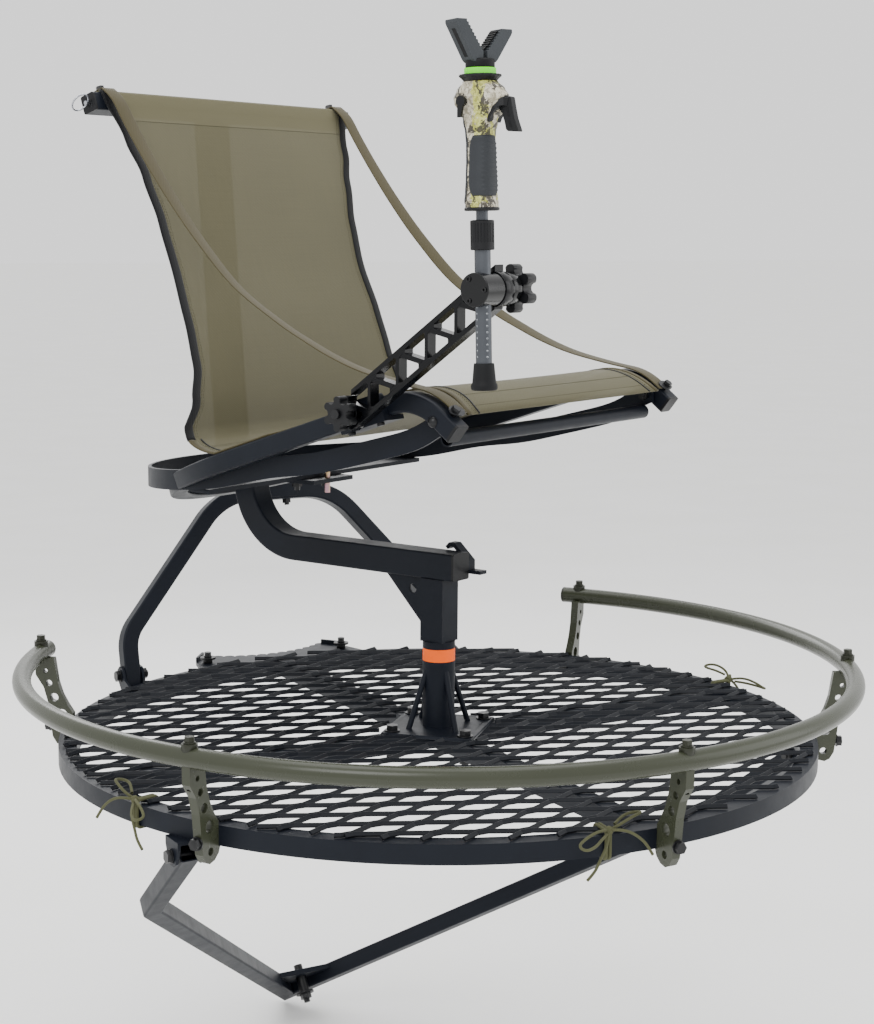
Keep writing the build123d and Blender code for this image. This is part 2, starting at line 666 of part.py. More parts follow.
def front_arc(radius):
    """Middle and end of an arc about the front bend's centre, from the slope to the drop."""
    middle = (SLOPE - DROP) / 2
    cy, cz = FRONT_CENTRE
    return [(cy - radius * sin(a), cz + radius * cos(a)) for a in (SLOPE, middle, -DROP)]


def seat_bar(side, corner):
    """Solid bar along the seat tube's path: two bent front ends and one U round the back."""
    up = (0, -sin(SLOPE), cos(SLOPE))
    rear = (0, SEAT_REAR_Y, seat_line(SEAT_REAR_Y))
    back = (0, SEAT_REAR_Y - SEAT_HALF * cos(SLOPE), seat_line(SEAT_REAR_Y) - SEAT_HALF * sin(SLOPE))
    front = (SEAT_FRONT_Y, seat_line(SEAT_FRONT_Y))
    left, right = -SEAT_HALF, SEAT_HALF
    u_path = Wire([Line((left, *front), (left, rear[1], rear[2])).edge(),
                   ThreePointArc((left, rear[1], rear[2]), back, (right, rear[1], rear[2])).edge(),
                   Line((right, rear[1], rear[2]), (right, *front)).edge()])
    shape = swept(u_path, side, corner, up)
    start, middle, end = front_arc(SEAT_FRONT_R)
    for x in (left, right):
        nose = Wire([ThreePointArc((x, *start), (x, *middle), (x, *end)).edge(),
                     Line((x, *end), (x, *STUB_END)).edge()])
        shape += swept(nose, side, corner, (1, 0, 0))
    return shape


SIDE_BOLT = (187.0, 471.0)
CORNER_BOLT = (FRONT_END[0] + 9 * cos(DROP), FRONT_END[1] - 9 * sin(DROP))


def seat_tube():
    shape = seat_bar(TUBE, CORNER) - seat_bar(TUBE - 2 * WALL, CORNER - WALL + 0.4)
    y, z = SIDE_BOLT
    shape -= rod((-300, y, z), (300, y, z), 4.2)
    for x in (-SEAT_HALF, SEAT_HALF):
        y, z = CORNER_BOLT
        shape -= rod((x, y, z), (x, y + 30 * sin(DROP), z + 30 * cos(DROP)), 3.2)
    return shape


HOOP_LINE = [(200, 476), (187, 471), (150, 450), (95, 431), (37, 416), (-31, 400), (-99, 390), (-200, 368),
             (-262, 360), (-417, 347), (-475, 343)]


def hoop_band(half_height):
    """Side view of the hoop's flat bar, as wide as its height."""
    upper, lower = [], []
    for index, (y, z) in enumerate(HOOP_LINE):
        before = HOOP_LINE[max(index - 1, 0)]
        after = HOOP_LINE[min(index + 1, len(HOOP_LINE) - 1)]
        run = hypot(after[0] - before[0], after[1] - before[1])
        ny, nz = -(after[1] - before[1]) / run, (after[0] - before[0]) / run
        upper.append((0, y - ny * half_height, z - nz * half_height))
        lower.append((0, y + ny * half_height, z + nz * half_height))
    top, bottom = Spline(*upper), Spline(*lower)
    ends = [Line(top @ 0, bottom @ 0), Line(top @ 1, bottom @ 1)]
    return make_face([top, bottom] + ends)


def seat_hoop():
    """Flat bar on edge: two legs from the front bolts and a half round behind, notched at the seat tube."""
    thick, high = HOOP_BAR
    outer, inner = HOOP_HALF + thick / 2, HOOP_HALF - thick / 2

    def plan(half):
        rear = ThreePointArc((-half, HOOP_REAR_Y, 200), (0, HOOP_REAR_Y - half, 200), (half, HOOP_REAR_Y, 200))
        return extrude(make_face([rear, Polyline((half, HOOP_REAR_Y, 200), (half, 200, 200), (-half, 200, 200),
                                                 (-half, HOOP_REAR_Y, 200))]), amount=400, dir=(0, 0, 1))

    wall = plan(outer) - plan(inner)
    wall -= slab(-inner, inner, -150, 300, 100, 700)
    band = Pos(-300, 0, 0) * extrude(hoop_band(high / 2), amount=600, dir=(1, 0, 0))
    shape = (wall & band) - seat_bar(TUBE, CORNER)
    y, z = SIDE_BOLT
    return shape - rod((-300, y, z), (300, y, z), 4.2)


def hoop_straps():
    """Flat bars across the hoop, welded to it and to the seat tube."""
    inner = HOOP_HALF - HOOP_BAR[0] / 2
    low = SEAT_PLATE_Z + PLATE_T
    shapes = []
    around = Pos(0, HOOP_REAR_Y, 0) * Cylinder(inner, 2000)
    ahead = slab(-inner, inner, HOOP_REAR_Y, 300, 0, 900)
    for y in STRAP_BARS:
        bar = slab(-inner - 5, inner + 5, y - STRAP_BAR_W / 2, y + STRAP_BAR_W / 2, low, low + 6)
        bar = bar & (around + ahead)
        for x, hole_y in PLATE_BOLTS:
            bar -= rod((x, hole_y, 300), (x, hole_y, 400), 4.2)
        shapes.append(bar - seat_bar(TUBE, CORNER))
    return shapes


def mount_bolts():
    shapes = []
    top = SEAT_PLATE_Z + PLATE_T + 6
    for x, y in PLATE_BOLTS:
        shapes.append(Pos(x, y, top) * bolt(4, 24, 13, 5.5, 8))
        shapes.append(Pos(x, y, SEAT_PLATE_Z) * nut(4, 13, 6.5))
    return shapes


def front_crossbar():
    """Round bar between the hoop's front ends."""
    half = HOOP_HALF - HOOP_BAR[0] / 2
    return pipe((-half, 185, 447), (half, 185, 447), 9.5, 8.0)


def seat_end_caps():
    half = TUBE / 2
    inner = TUBE - 2 * WALL - 3
    cap = Box(TUBE, TUBE, 4)
    cap = Pos(0, 0, 2) * fillet(cap.edges().filter_by(Axis.Z), CORNER)
    cap += Pos(0, 0, -4) * Box(inner, inner, 8)
    shapes = []
    for x in (-SEAT_HALF, SEAT_HALF):
        shapes.append(aim((x, *STUB_END), (0, cos(DROP), -sin(DROP)), (1, 0, 0)) * cap)
    return shapes


def seat_side_bolts():
    """Dome-headed bolts through the seat tube and the hoop's front ends, with spacers and nuts."""
    y, z = SIDE_BOLT
    outer = SEAT_HALF + TUBE / 2
    hoop_out, hoop_in = HOOP_HALF + HOOP_BAR[0] / 2, HOOP_HALF - HOOP_BAR[0] / 2
    shapes = []
    shapes.extend(both_sides(aim((outer, y, z), (1, 0, 0)) * bolt(4, outer - hoop_in + 9, dome=8)))
    shapes.extend(both_sides(pipe((hoop_out, y, z), (SEAT_HALF - TUBE / 2, y, z), 7, 4)))
    shapes.extend(both_sides(aim((hoop_in, y, z), (1, 0, 0)) * nut(4, 13, 6.5)))
    return shapes


CLOTH_LOW = TUBE / 2 + CLOTH_GAP
CLOTH_HIGH = CLOTH_LOW + CLOTH


def corner_bolts():
    """Bolts with oval washers that hold the sling's and the straps' front ends."""
    shapes = []
    lift = CLOTH_HIGH + STRAP[1] + 0.3
    y, z = CORNER_BOLT
    base = (y + lift * sin(DROP), z + lift * cos(DROP))
    for x in (-SEAT_HALF, SEAT_HALF):
        seat = aim((x - copy_sign(4, x), *base), (0, sin(DROP), cos(DROP)), (1, 0, 0))
        oval = extrude(Ellipse(14, 9), amount=1.6) - Cylinder(3, 10)
        shapes.append(seat * oval)
        shapes.append(seat * Pos(copy_sign(4, x), 0, 1.6) * bolt(3, 26, 10, 5, 0))
    return shapes


def copy_sign(size, like):
    return size if like > 0 else -size


SLING_HALF = 268.0
SPLIT_Z = 430.0          # height where the seat's cloth and the backrest's meet


def seat_sling():
    """Seat cloth over the side tubes, rising behind to meet the backrest's cloth."""
    def surface(offset):
        cy, cz = FRONT_CENTRE
        over = front_arc(SEAT_FRONT_R + offset)
        up = (-sin(SLOPE), cos(SLOPE))
        rear = (-175 + up[0] * offset, seat_line(-175) + up[1] * offset)
        return rear, over

    rear_low, low = surface(CLOTH_LOW)
    rear_high, high = surface(CLOTH_HIGH)
    hem = (low[2][0] + 14 * cos(DROP), low[2][1] - 14 * sin(DROP))
    hem_high = (high[2][0] + 14 * cos(DROP), high[2][1] - 14 * sin(DROP))
    top_low, top_high = (-245.0, SPLIT_Z), (-245.0 + CLOTH, SPLIT_Z)
    lines = [Line(yz(*rear_low), yz(*low[0])), ThreePointArc(*[yz(*p) for p in low]), Line(yz(*low[2]), yz(*hem)),
             Line(yz(*hem), yz(*hem_high)), Line(yz(*hem_high), yz(*high[2])),
             ThreePointArc(*[yz(*p) for p in reversed(high)]), Line(yz(*high[0]), yz(*rear_high)),
             ThreePointArc(yz(*rear_high), yz(-219, 411), yz(*top_high)), Line(yz(*top_high), yz(*top_low)),
             ThreePointArc(yz(*top_low), yz(-221.5, 408.6), yz(*rear_low))]
    sheet = extrude(make_face(lines), amount=2 * SLING_HALF, dir=(1, 0, 0))
    sheet = Pos(-SLING_HALF, 0, 0) * sheet
    sheet -= slab(-300, 300, -300, -190, SPLIT_Z - 0.4, 600)
    for x in (-SEAT_HALF, SEAT_HALF):
        y, z = CORNER_BOLT
        sheet -= rod((x, y, z), (x, y + 30 * sin(DROP), z + 30 * cos(DROP)), 3.2)
    return sheet


def hinge_ears():
    """Clevis on the arm's top plate that holds the spine."""
    y, z = HINGE
    low = SEAT_PLATE_Z + PLATE_T
    outline = [(-395, low), (-353, low), (y + 14, z + 4), (y + 10, z + 12), (y, z + 15), (y - 11, z + 11),
               (y - 14, z + 2)]
    near = ARM_TUBE / 2 + EAR_GAP
    ear = side_shape(outline, near, near + EAR_T)
    ear -= rod((0, y, z), (60, y, z), PIN_R)
    return both_sides(ear)


def hinge_pin():
    y, z = HINGE
    reach = ARM_TUBE / 2 + EAR_GAP + EAR_T
    return [aim((reach, y, z), (1, 0, 0)) * bolt(PIN_R, 2 * reach + 10, 15, 6, 8),
            aim((-reach, y, z), (1, 0, 0)) * nut(PIN_R, 15, 8)]


CLAMP_Y = 81.0


def tube_frame(y):
    """Place on the near side tube: x outwards, y up the slope, z square to it."""
    return Pos(SEAT_HALF, y, seat_line(y)) * Rot(SEAT_SLOPE, 0, 0)


def rail_clamp():
    """Clamp block on the near side tube, with a plate under the tube and the arm's pivot stud."""
    half = TUBE / 2 + 0.1
    shape = slab(half, 23.5, -36, 36, -19, 17) + slab(-half - 4, 23.5, -36, 36, -19, -half)
    shape = fillet(shape.edges().filter_by(Axis.X).group_by(Axis.Z)[-1], 4)
    return tube_frame(CLAMP_Y) * shape - pivot_hole(PIN_R)


def pivot_hole(radius):
    return rod((240, *PIVOT), (400, *PIVOT), radius)


def clamp_fixings():
    """Screws under the clamp and the stud that the arm turns on."""
    shapes = [rod((276, *PIVOT), (328.2, *PIVOT), PIN_R) + Pos(0, *PIVOT) * rod((328.2, 0, 0), (331, 0, 0), 6)]
    for y in (-24, 24):
        shapes.append(tube_frame(CLAMP_Y) * Pos(17, y, -21) * Cylinder(5, 4))
    return shapes


def lock_pin():
    """Spring-wire pin through the seat plate, lifted to free the seat."""
    x, y = LOCK_PIN
    shape = rod((x, y, 322), (x, y, 372), LOCK_PIN_R)
    shape += rod((x, y, 366), (x, y, 372), 6.5)
    path = FilletPolyline((x, y - 3, 368), (x, y - 16, 368), (x, y - 16, 352), (x, y - 9, 352), radius=4)
    wire = sweep(Plane(origin=path @ 0, z_dir=path % 0) * Circle(1.3), path=path)
    return shape + wire


# ---- backrest (seat frame) ---------------------------------------------------------------
BAR_BOX = Pos(0, *BAR) * Rot(SEAT_SLOPE, 0, 0)
SPINE_LEAN = degrees(atan2(HINGE[0] - SPINE_TOP[0], SPINE_TOP[1] - HINGE[1]))


def top_bar_solid():
    return BAR_BOX * Box(2 * BAR_HALF, TUBE, TUBE)


def spine_tube():
    """Upright tube behind the sling, from its hinge to the top bar."""
    length = hypot(SPINE_TOP[0] - HINGE[0], SPINE_TOP[1] - HINGE[1])
    place = Pos(0, *HINGE) * Rot(SPINE_LEAN, 0, 0)
    path = Line((0, 0, -15), (0, 0, length))
    shape = place * square_tube(path, ARM_TUBE, ARM_WALL, (1, 0, 0))
    shape -= top_bar_solid()
    return (shape - rod((-40, *HINGE), (40, *HINGE), PIN_R + FIT)).solids().sort_by(SortBy.VOLUME)[-1]


def top_bar():
    path = Line((-BAR_HALF, 0, 0), (BAR_HALF, 0, 0))
    shape = BAR_BOX * square_tube(path, TUBE, WALL, (0, 0, 1))
    for x in (-STRAP_X, STRAP_X):
        shape -= BAR_BOX * rod((x, 0, 5), (x, 0, 25), 3.2)
    return shape - BAR_BOX * rod((BAR_HALF - 40, 0, 0), (BAR_HALF + 5, 0, 0), 4.0)


def bar_end_caps():
    inner = TUBE - 2 * WALL - 2.4
    cap = Box(3, TUBE, TUBE)
    cap = Pos(1.5, 0, 0) * fillet(cap.edges().filter_by(Axis.X), CORNER)
    cap += Pos(-5, 0, 0) * Box(10, inner, inner)
    cap = Pos(BAR_HALF, 0, 0) * cap
    near = cap - rod((BAR_HALF - 20, 0, 0), (BAR_HALF + 10, 0, 0), PLUNGER_R + FIT)
    return [BAR_BOX * near, BAR_BOX * mirror(cap, about=Plane.YZ)]


PLUNGER_R = 3.0
CLOTH_Y = [(-360, 823), (-344, 774), (-325, 711), (-305, 648), (-277, 579), (-258, 518), (-247, 470)]


def back_sling():
    """Backrest's cloth: wrapped over the top bar, down in front of it and in to the seat."""
    low, high = TUBE / 2 + CLOTH_GAP, TUBE / 2 + CLOTH_GAP + CLOTH

    def wrap(offset, reach):
        corner = [(-reach, offset), (offset, offset), (offset, -4)]
        turn = SLOPE
        return [(BAR[0] + y * cos(turn) - z * sin(turn), BAR[1] + y * sin(turn) + z * cos(turn)) for y, z in corner]

    front = wrap(high, 5)
    back = wrap(low, 5)
    end_front, end_back = (-245 + CLOTH, SPLIT_Z), (-245, SPLIT_Z)
    curve_front = [front[2]] + [(y + CLOTH / 2, z) for y, z in CLOTH_Y] + [end_front]
    curve_back = [back[2]] + [(y - CLOTH / 2, z) for y, z in CLOTH_Y] + [end_back]
    lines = [Polyline(*[yz(*p) for p in front]), Spline(*[yz(*p) for p in curve_front]),
             Line(yz(*end_front), yz(*end_back)), Spline(*[yz(*p) for p in reversed(curve_back)]),
             Polyline(*[yz(*p) for p in reversed(back)]), Line(yz(*back[0]), yz(*front[0]))]
    sheet = Pos(-300, 0, 0) * extrude(make_face(lines), amount=600, dir=(1, 0, 0))
    widths = [(263, 890), (243, 823), (228, 774), (217, 711), (213, 648), (218, 579), (222, 518), (236, 470),
              (256, SPLIT_Z + 0.4)]
    right = Spline(*[(x, -500, z) for x, z in widths])
    left = Spline(*[(-x, -500, z) for x, z in widths])
    top = Polyline((widths[0][0], -500, 890), (263, -500, 905), (-263, -500, 905), (-widths[0][0], -500, 890))
    foot = Line((widths[-1][0], -500, widths[-1][1]), (-widths[-1][0], -500, widths[-1][1]))
    front_view = extrude(make_face([right, left, top, foot]), amount=400, dir=(0, 1, 0))
    sheet = sheet & front_view
    for x in (-STRAP_X, STRAP_X):
        sheet -= BAR_BOX * rod((x, 0, 5), (x, 0, 40), 3.2)
    return sheet


STRAP_LINE = [(-368, 876), (-345, 842), (-311, 795), (-268, 741), (-219, 687), (-154, 627), (-80, 583), (-30, 559),
              (13, 541), (60, 526), (116, 514.5)]


def strap_surface(offset):
    """Side view of one face of the webbing, from the top bar down to the front corner."""
    bar_low = TUBE / 2 + CLOTH_GAP + CLOTH + 0.3 + offset
    turn = SLOPE

    def on_bar(y, z):
        return (BAR[0] + y * cos(turn) - z * sin(turn), BAR[1] + y * sin(turn) + z * cos(turn))

    start = [on_bar(-6, bar_low), on_bar(18, bar_low)]
    hang = []
    for index, (y, z) in enumerate(STRAP_LINE):
        before, after = STRAP_LINE[max(index - 1, 0)], STRAP_LINE[min(index + 1, len(STRAP_LINE) - 1)]
        run = hypot(after[0] - before[0], after[1] - before[1])
        hang.append((y - (after[1] - before[1]) / run * offset, z + (after[0] - before[0]) / run * offset))
    radius = SEAT_FRONT_R + CLOTH_HIGH + 0.3 + offset
    cy, cz = FRONT_CENTRE
    leave = radians(-12)
    middle = (leave - DROP) / 2
    arc = [(cy - radius * sin(a), cz + radius * cos(a)) for a in (leave, middle, -DROP)]
    tail = (arc[2][0] + 12 * cos(DROP), arc[2][1] - 12 * sin(DROP))
    return start, hang, arc, tail


def support_straps():
    """Webbing from the top bar's bolts to the seat's front corners."""
    start, hang, arc, tail = strap_surface(0.0)
    start_up, hang_up, arc_up, tail_up = strap_surface(STRAP[1])
    low = [Line(yz(*start[0]), yz(*start[1])), Spline(*[yz(*p) for p in [start[1]] + hang + [arc[0]]]),
           ThreePointArc(*[yz(*p) for p in arc]), Line(yz(*arc[2]), yz(*tail))]
    high = [Line(yz(*start_up[0]), yz(*start_up[1])), Spline(*[yz(*p) for p in [start_up[1]] + hang_up + [arc_up[0]]]),
            ThreePointArc(*[yz(*p) for p in arc_up]), Line(yz(*arc_up[2]), yz(*tail_up))]
    ends = [Line(yz(*start[0]), yz(*start_up[0])), Line(yz(*tail), yz(*tail_up))]
    web = Pos(STRAP_X - STRAP[0] / 2, 0, 0) * extrude(make_face(low + high + ends), amount=STRAP[0], dir=(1, 0, 0))
    web -= BAR_BOX * rod((STRAP_X, 0, 5), (STRAP_X, 0, 40), 3.2)
    y, z = CORNER_BOLT
    web -= rod((SEAT_HALF, y, z), (SEAT_HALF, y + 30 * sin(DROP), z + 30 * cos(DROP)), 3.2)
    return both_sides(web)


def strap_bolts():
    shapes = []
    lift = TUBE / 2 + CLOTH_GAP + CLOTH + STRAP[1] + 0.6
    for x in (-STRAP_X, STRAP_X):
        shapes.append(BAR_BOX * Pos(x, 0, lift) * washer(8, 3, 1.2))
        shapes.append(BAR_BOX * Pos(x, 0, lift + 1.2) * bolt(3, 14, 10, 5.5, 0))
    return shapes


def pull_pin():
    """Plunger in the top bar's near end, with the ring that pulls it."""
    shape = BAR_BOX * rod((BAR_HALF - 30, 0, 0), (BAR_HALF + 9, 0, 0), PLUNGER_R)
    loop = BAR_BOX * Pos(BAR_HALF + 6, 0, 0) * Rot(0, 0, 0) * Torus(13, 1.2)
    hanging = BAR_BOX * Pos(BAR_HALF + 18.5, 0, 0) * Rot(35, 0, 0) * Torus(13, 1.2)
    return shape + hanging


# ---- gun-rest arm (seat frame) -----------------------------------------------------------
TRUSS_CHORD = 7.4
TRUSS_BAR = 4.6
TRUSS_CELLS = 5
TRUSS_PITCH = 43.5
TRUSS_FIRST = 68.0


def truss_top(y):
    return PIVOT[1] + 26.0 + (y - PIVOT[0]) * TRUSS_SLOPE


def truss_bottom(y):
    return PIVOT[1] - 26.0 + (y - PIVOT[0]) * TRUSS_SLOPE


TRUSS_SLOPE = (HUB[1] - PIVOT[1]) / (HUB[0] - PIVOT[0])


def truss_windows():
    """Two three-cornered windows in each cell, either side of a diagonal."""
    windows = []
    for cell in range(TRUSS_CELLS):
        a = TRUSS_FIRST + cell * TRUSS_PITCH + TRUSS_BAR / 2
        b = a + TRUSS_PITCH - TRUSS_BAR
        top_a, top_b = truss_top(a) - TRUSS_CHORD, truss_top(b) - TRUSS_CHORD
        low_a, low_b = truss_bottom(a) + TRUSS_CHORD, truss_bottom(b) + TRUSS_CHORD
        fall = (low_b - top_a) / (b - a)
        shift = TRUSS_BAR / 2 * sqrt(1 + fall * fall)
        upper = [(a + 9, top_a + 9 * TRUSS_SLOPE), (b, top_b), (b, low_b + shift + 1),
                 (a + 9, top_a + 9 * fall + shift + 1)]
        lower = [(a, top_a - shift - 1), (a, low_a), (b - 9, low_b - 9 * TRUSS_SLOPE),
                 (b - 9, low_b - 9 * fall - shift - 1)]
        windows.extend([upper, lower])
    return windows


def truss_arm():
    x0, x1 = TRUSS_X
    a, b = PIVOT[0] + 4, HUB[0] + 4
    body = side_shape([(a, truss_bottom(a)), (b, truss_bottom(b)), (b, truss_top(b)), (a, truss_top(a))], x0, x1)
    body += rod((x0, *PIVOT), (x1, *PIVOT), 21.4)
    body += rod((x0, *HUB), (x1, *HUB), 21.4)
    keep = rod((x0 - 1, *PIVOT), (x1 + 1, *PIVOT), 13) + rod((x0 - 1, *HUB), (x1 + 1, *HUB), 17)
    for outline in truss_windows():
        hole = side_shape(outline, x0 - 1, x1 + 1)
        hole = fillet(hole.edges().filter_by(Axis.X), 1.6)
        body -= hole - keep
    body -= rod((x0 - 1, *PIVOT), (x1 + 1, *PIVOT), PIN_R + FIT)
    return body - rod((x0 - 1, *HUB), (x1 + 1, *HUB), CLAMP_SPINDLE_R + FIT)


CLAMP_SPINDLE_R = 6.0
CLAMP_R = 20.0
HEAD_X = (304.3, 340.0)
CAP_X = (269.3, 285.7)


def star_knob(x0, x1, radius, bore, lobes=6):
    """Lobed hand knob along X."""
    thickness = abs(x1 - x0)
    body = Cylinder(radius * 0.72, thickness)
    for lobe in range(lobes):
        angle = 360 / lobes * lobe
        body += Rot(0, 0, angle) * Pos(radius * 0.76, 0, 0) * Cylinder(radius * 0.24, thickness)
    for lobe in range(lobes):
        angle = 360 / lobes * (lobe + 0.5)
        body -= Rot(0, 0, angle) * Pos(radius * 0.86, 0, 0) * Cylinder(radius * 0.22, thickness + 2)
    body -= Cylinder(bore, thickness + 2)
    return Pos((x0 + x1) / 2, 0, 0) * Rot(0, 90, 0) * body


def arm_knob():
    return Pos(0, *PIVOT) * (star_knob(311, 327, 22, PIN_R + FIT) + pipe((304.6, 0, 0), (311, 0, 0), 10, PIN_R + FIT))


def clamp_head():
    """Cylinder that grips the stick, with the spindle it turns on."""
    head = rod((HEAD_X[0], 0, 0), (HEAD_X[1], 0, 0), CLAMP_R)
    head = fillet(head.edges().sort_by(Axis.X)[-1], 1.2)
    head += rod((240, 0, 0), (HEAD_X[0], 0, 0), CLAMP_SPINDLE_R)
    return head - rod((STICK_X, 0, -40), (STICK_X, 0, 40), STICK_R + FIT)


def clamp_cap():
    cap = pipe((CAP_X[0], 0, 0), (CAP_X[1], 0, 0), CLAMP_R, CLAMP_SPINDLE_R)
    return cap


def clamp_screws():
    shapes = []
    for angle in (90, 210, 330):
        y, z = 14.5 * sin(radians(angle)), 14.5 * cos(radians(angle))
        head = rod((HEAD_X[1], y, z), (HEAD_X[1] + 1.6, y, z), 3.2)
        shapes.append(head - aim((HEAD_X[1] + 2, y, z), (1, 0, 0)) * Pos(0, 0, -2) * hexagon(3, 3))
    return shapes


def clamp_knob():
    return star_knob(248, 266, 29, CLAMP_SPINDLE_R + FIT) + pipe((266, 0, 0), (269, 0, 0), 12, CLAMP_SPINDLE_R + FIT)


# ---- stick (stick frame: on the stick's axis, z = 0 at the clamp) --------------------------
STICK_LOW, STICK_HIGH = -86.0, 64.0
COLLAR_LOW, COLLAR_HIGH = 45.5, 80.0
GRIP_LOW, GRIP_HIGH = 91.0, 237.0


def up(radius, low, high):
    return rod((0, 0, low), (0, 0, high), radius)


def stick_tube():
    return up(STICK_R, STICK_LOW, STICK_HIGH) - up(INNER_R + FIT, STICK_LOW + 6, STICK_HIGH)


def stick_foot():
    shape = up(15.75, -117, -90) + up(14.2, -90, STICK_LOW)
    shape = fillet(shape.edges().sort_by(Axis.Z)[0], 3)
    for groove in (-108, -102):
        shape -= up(17, groove, groove + 2) - up(15, groove, groove + 2)
    return shape


def twist_collar():
    shape = up(14, COLLAR_LOW, COLLAR_HIGH)
    shape = chamfer(shape.edges().group_by(Axis.Z)[0] + shape.edges().group_by(Axis.Z)[-1], 1.0)
    for rib in range(24):
        groove = Rot(0, 0, 15 * rib) * Pos(14.3, 0, COLLAR_LOW + 20) * Cylinder(0.9, 22)
        shape -= groove
    shape -= up(STICK_R + FIT, COLLAR_LOW - 1, STICK_HIGH + 0.3)
    return shape - up(INNER_R + FIT, COLLAR_LOW, COLLAR_HIGH + 1)


def upper_tube():
    return up(INNER_R, -40, GRIP_LOW) - up(INNER_R - 1.5, -40, GRIP_LOW)


GRIP_SECTIONS = [(GRIP_LOW, 19.5, 19.0, 0.0), (98, 19.5, 18.5, 0.0), (128, 16.5, 16.5, 0.0),
                 (164, 15.0, 16.0, 0.0), (188, 17.5, 19.0, 1.0), (208, 21.5, 25.0, 1.5),
                 (224, 21.0, 23.5, 0.5), (GRIP_HIGH, 18.0, 18.5, 0.0)]


def grip_body():
    """Moulded handle, narrow at the palm and wide at the trigger housing."""
    sections = []
    for z, half_x, half_y, shift in GRIP_SECTIONS:
        sections.append(Plane(origin=(0, shift, z)) * Ellipse(half_x, half_y))
    shape = loft(sections)
    pocket = slab(-5.2, 5.2, 9.8, 60, 168, 222)
    return shape - pocket - rod((10, -8, LOCK_LEVER_Z), (40, -8, LOCK_LEVER_Z), 2.5 + FIT)


def grip_collar():
    return up(22.5, GRIP_HIGH, GRIP_HIGH + 4) + up(25, GRIP_HIGH + 4, GRIP_HIGH + 8)


def lime_ring():
    return pipe((0, 0, GRIP_HIGH + 8), (0, 0, GRIP_HIGH + 15), 18.5, YOKE_STEM_R + FIT)


YOKE_STEM_R = 8.0
YOKE_LOW = GRIP_HIGH + 15.3


def grip_socket_cap():
    """Spindle hole of the yoke goes down into the collar."""
    return up(YOKE_STEM_R + FIT, GRIP_HIGH - 8, GRIP_HIGH + 8)


def yoke():
    """Two-pronged rubber cradle on a stem that turns in the handle."""
    base = fillet(up(17, YOKE_LOW, YOKE_LOW + 10).edges().group_by(Axis.Z)[-1], 2)
    shape = base + up(YOKE_STEM_R, GRIP_HIGH - 7, YOKE_LOW)
    foot = YOKE_LOW + 6
    for way, reach, rise in ((-1, 42, 47), (1, 38, 38)):
        outline = [(way * 2, foot), (way * 14, foot), (way * (reach + 3), foot + rise - 4),
                   (way * (reach + 3), foot + rise), (way * (reach - 12), foot + rise), (way * -1, foot + 12)]
        prong = side_shape(outline, -11, 11)
        shape += prong
    return shape


TRIGGER_PIVOT = (17.0, 212.0)


def trigger():
    y, z = TRIGGER_PIVOT
    outline = [(y - 4, z - 4), (y - 4, z + 5), (y + 20, z + 5), (y + 24, z - 8), (y + 31, z - 33),
               (y + 20, z - 34), (y + 14, z - 10), (y + 8, z - 6)]
    return side_shape(outline, -4.8, 4.8) - rod((-10, y, z), (10, y, z), 2.0 + FIT)


def trigger_pin():
    y, z = TRIGGER_PIVOT
    return rod((-14, y, z), (14, y, z), 2.0)


LOCK_LEVER_Z = 214.0


def lock_lever():
    """Small turning lever on the handle's near face."""
    shape = rod((24.0, 0, 0), (29.5, 0, 0), 6.0)
    shape += side_shape([(-4, 0), (4, 0), (0.5, -18), (-4.5, -18)], 26.0, 29.5)
    return Pos(0, -8, LOCK_LEVER_Z) * (shape + rod((16, 0, 0), (24, 0, 0), 2.5))


# ---- assembly ----------------------------------------------------------------------------
ROW = Pos(0, -TREE_Y, 0)
SEAT = ROW * Rot(0, 0, SEAT_TURN)
CLAMP = SEAT * Pos(0, *HUB) * Rot(STICK_LEAN, 0, 0)
STICK = CLAMP * Pos(STICK_X, 0, 0)


def place(where, name, shapes):
    if not isinstance(shapes, (list, tuple)):
        shapes = [shapes]
    node(name, *[where * shape for shape in shapes])


for name, shapes in {
    "rim_ring": rim_ring(), "spokes": spokes(), "mesh_grille": mesh_grille(), "hub_plate": hub_plate(),
    "platform_bolts": hub_bolts() + bracket_bolts() + pivot_bolts(), "swivel_post": swivel_post(),
    "gusset_rods": gusset_rods(), "swivel_bushing": swivel_bushing(), "foot_rail": foot_rail(),
    "rail_end_caps": rail_end_caps(), "rail_brackets": [rail_bracket(a) for a in BRACKET_AZIMUTHS],
    "rail_bolts": rail_bolts(), "tree_blade": tree_blade(), "strap_posts": strap_posts(),
    "arch_clevises": arch_clevises(), "brace_clevises": brace_clevises(), "rim_ties": rim_ties(),
    "arch_tube": arch_tube(), "arch_strap_bracket": arch_strap_bracket(), "arch_bolts": arch_bolts(),
    "brace_tube": brace_tube(), "apex_plate": apex_plate(), "apex_strap_post": apex_strap_post(),
}.items():
    place(ROW, name, shapes)

for name, shapes in {
    "socket_tube": socket_tube(), "arm_tube": arm_tube(), "arm_gusset": arm_gusset(), "gear_hook": gear_hook(),
    "seat_plates": [arm_top_plate()] + hoop_straps(), "seat_tube": seat_tube(), "seat_hoop": seat_hoop(),
    "seat_bolts": [keeper_screw()] + mount_bolts() + seat_side_bolts() + hinge_pin() + clamp_fixings(),
    "front_crossbar": front_crossbar(), "seat_end_caps": seat_end_caps() + [arm_end_cap()],
    "corner_bolts": corner_bolts(), "seat_sling": seat_sling(), "hinge_ears": hinge_ears(),
    "rail_clamp": rail_clamp(), "lock_pin": lock_pin(),
    "spine_tube": spine_tube(), "top_bar": top_bar(), "bar_end_caps": bar_end_caps(),
    "back_sling": back_sling(), "support_straps": support_straps(), "strap_bolts": strap_bolts(),
    "pull_pin": pull_pin(), "truss_arm": truss_arm(), "arm_knob": arm_knob(),
}.items():
    place(SEAT, name, shapes)

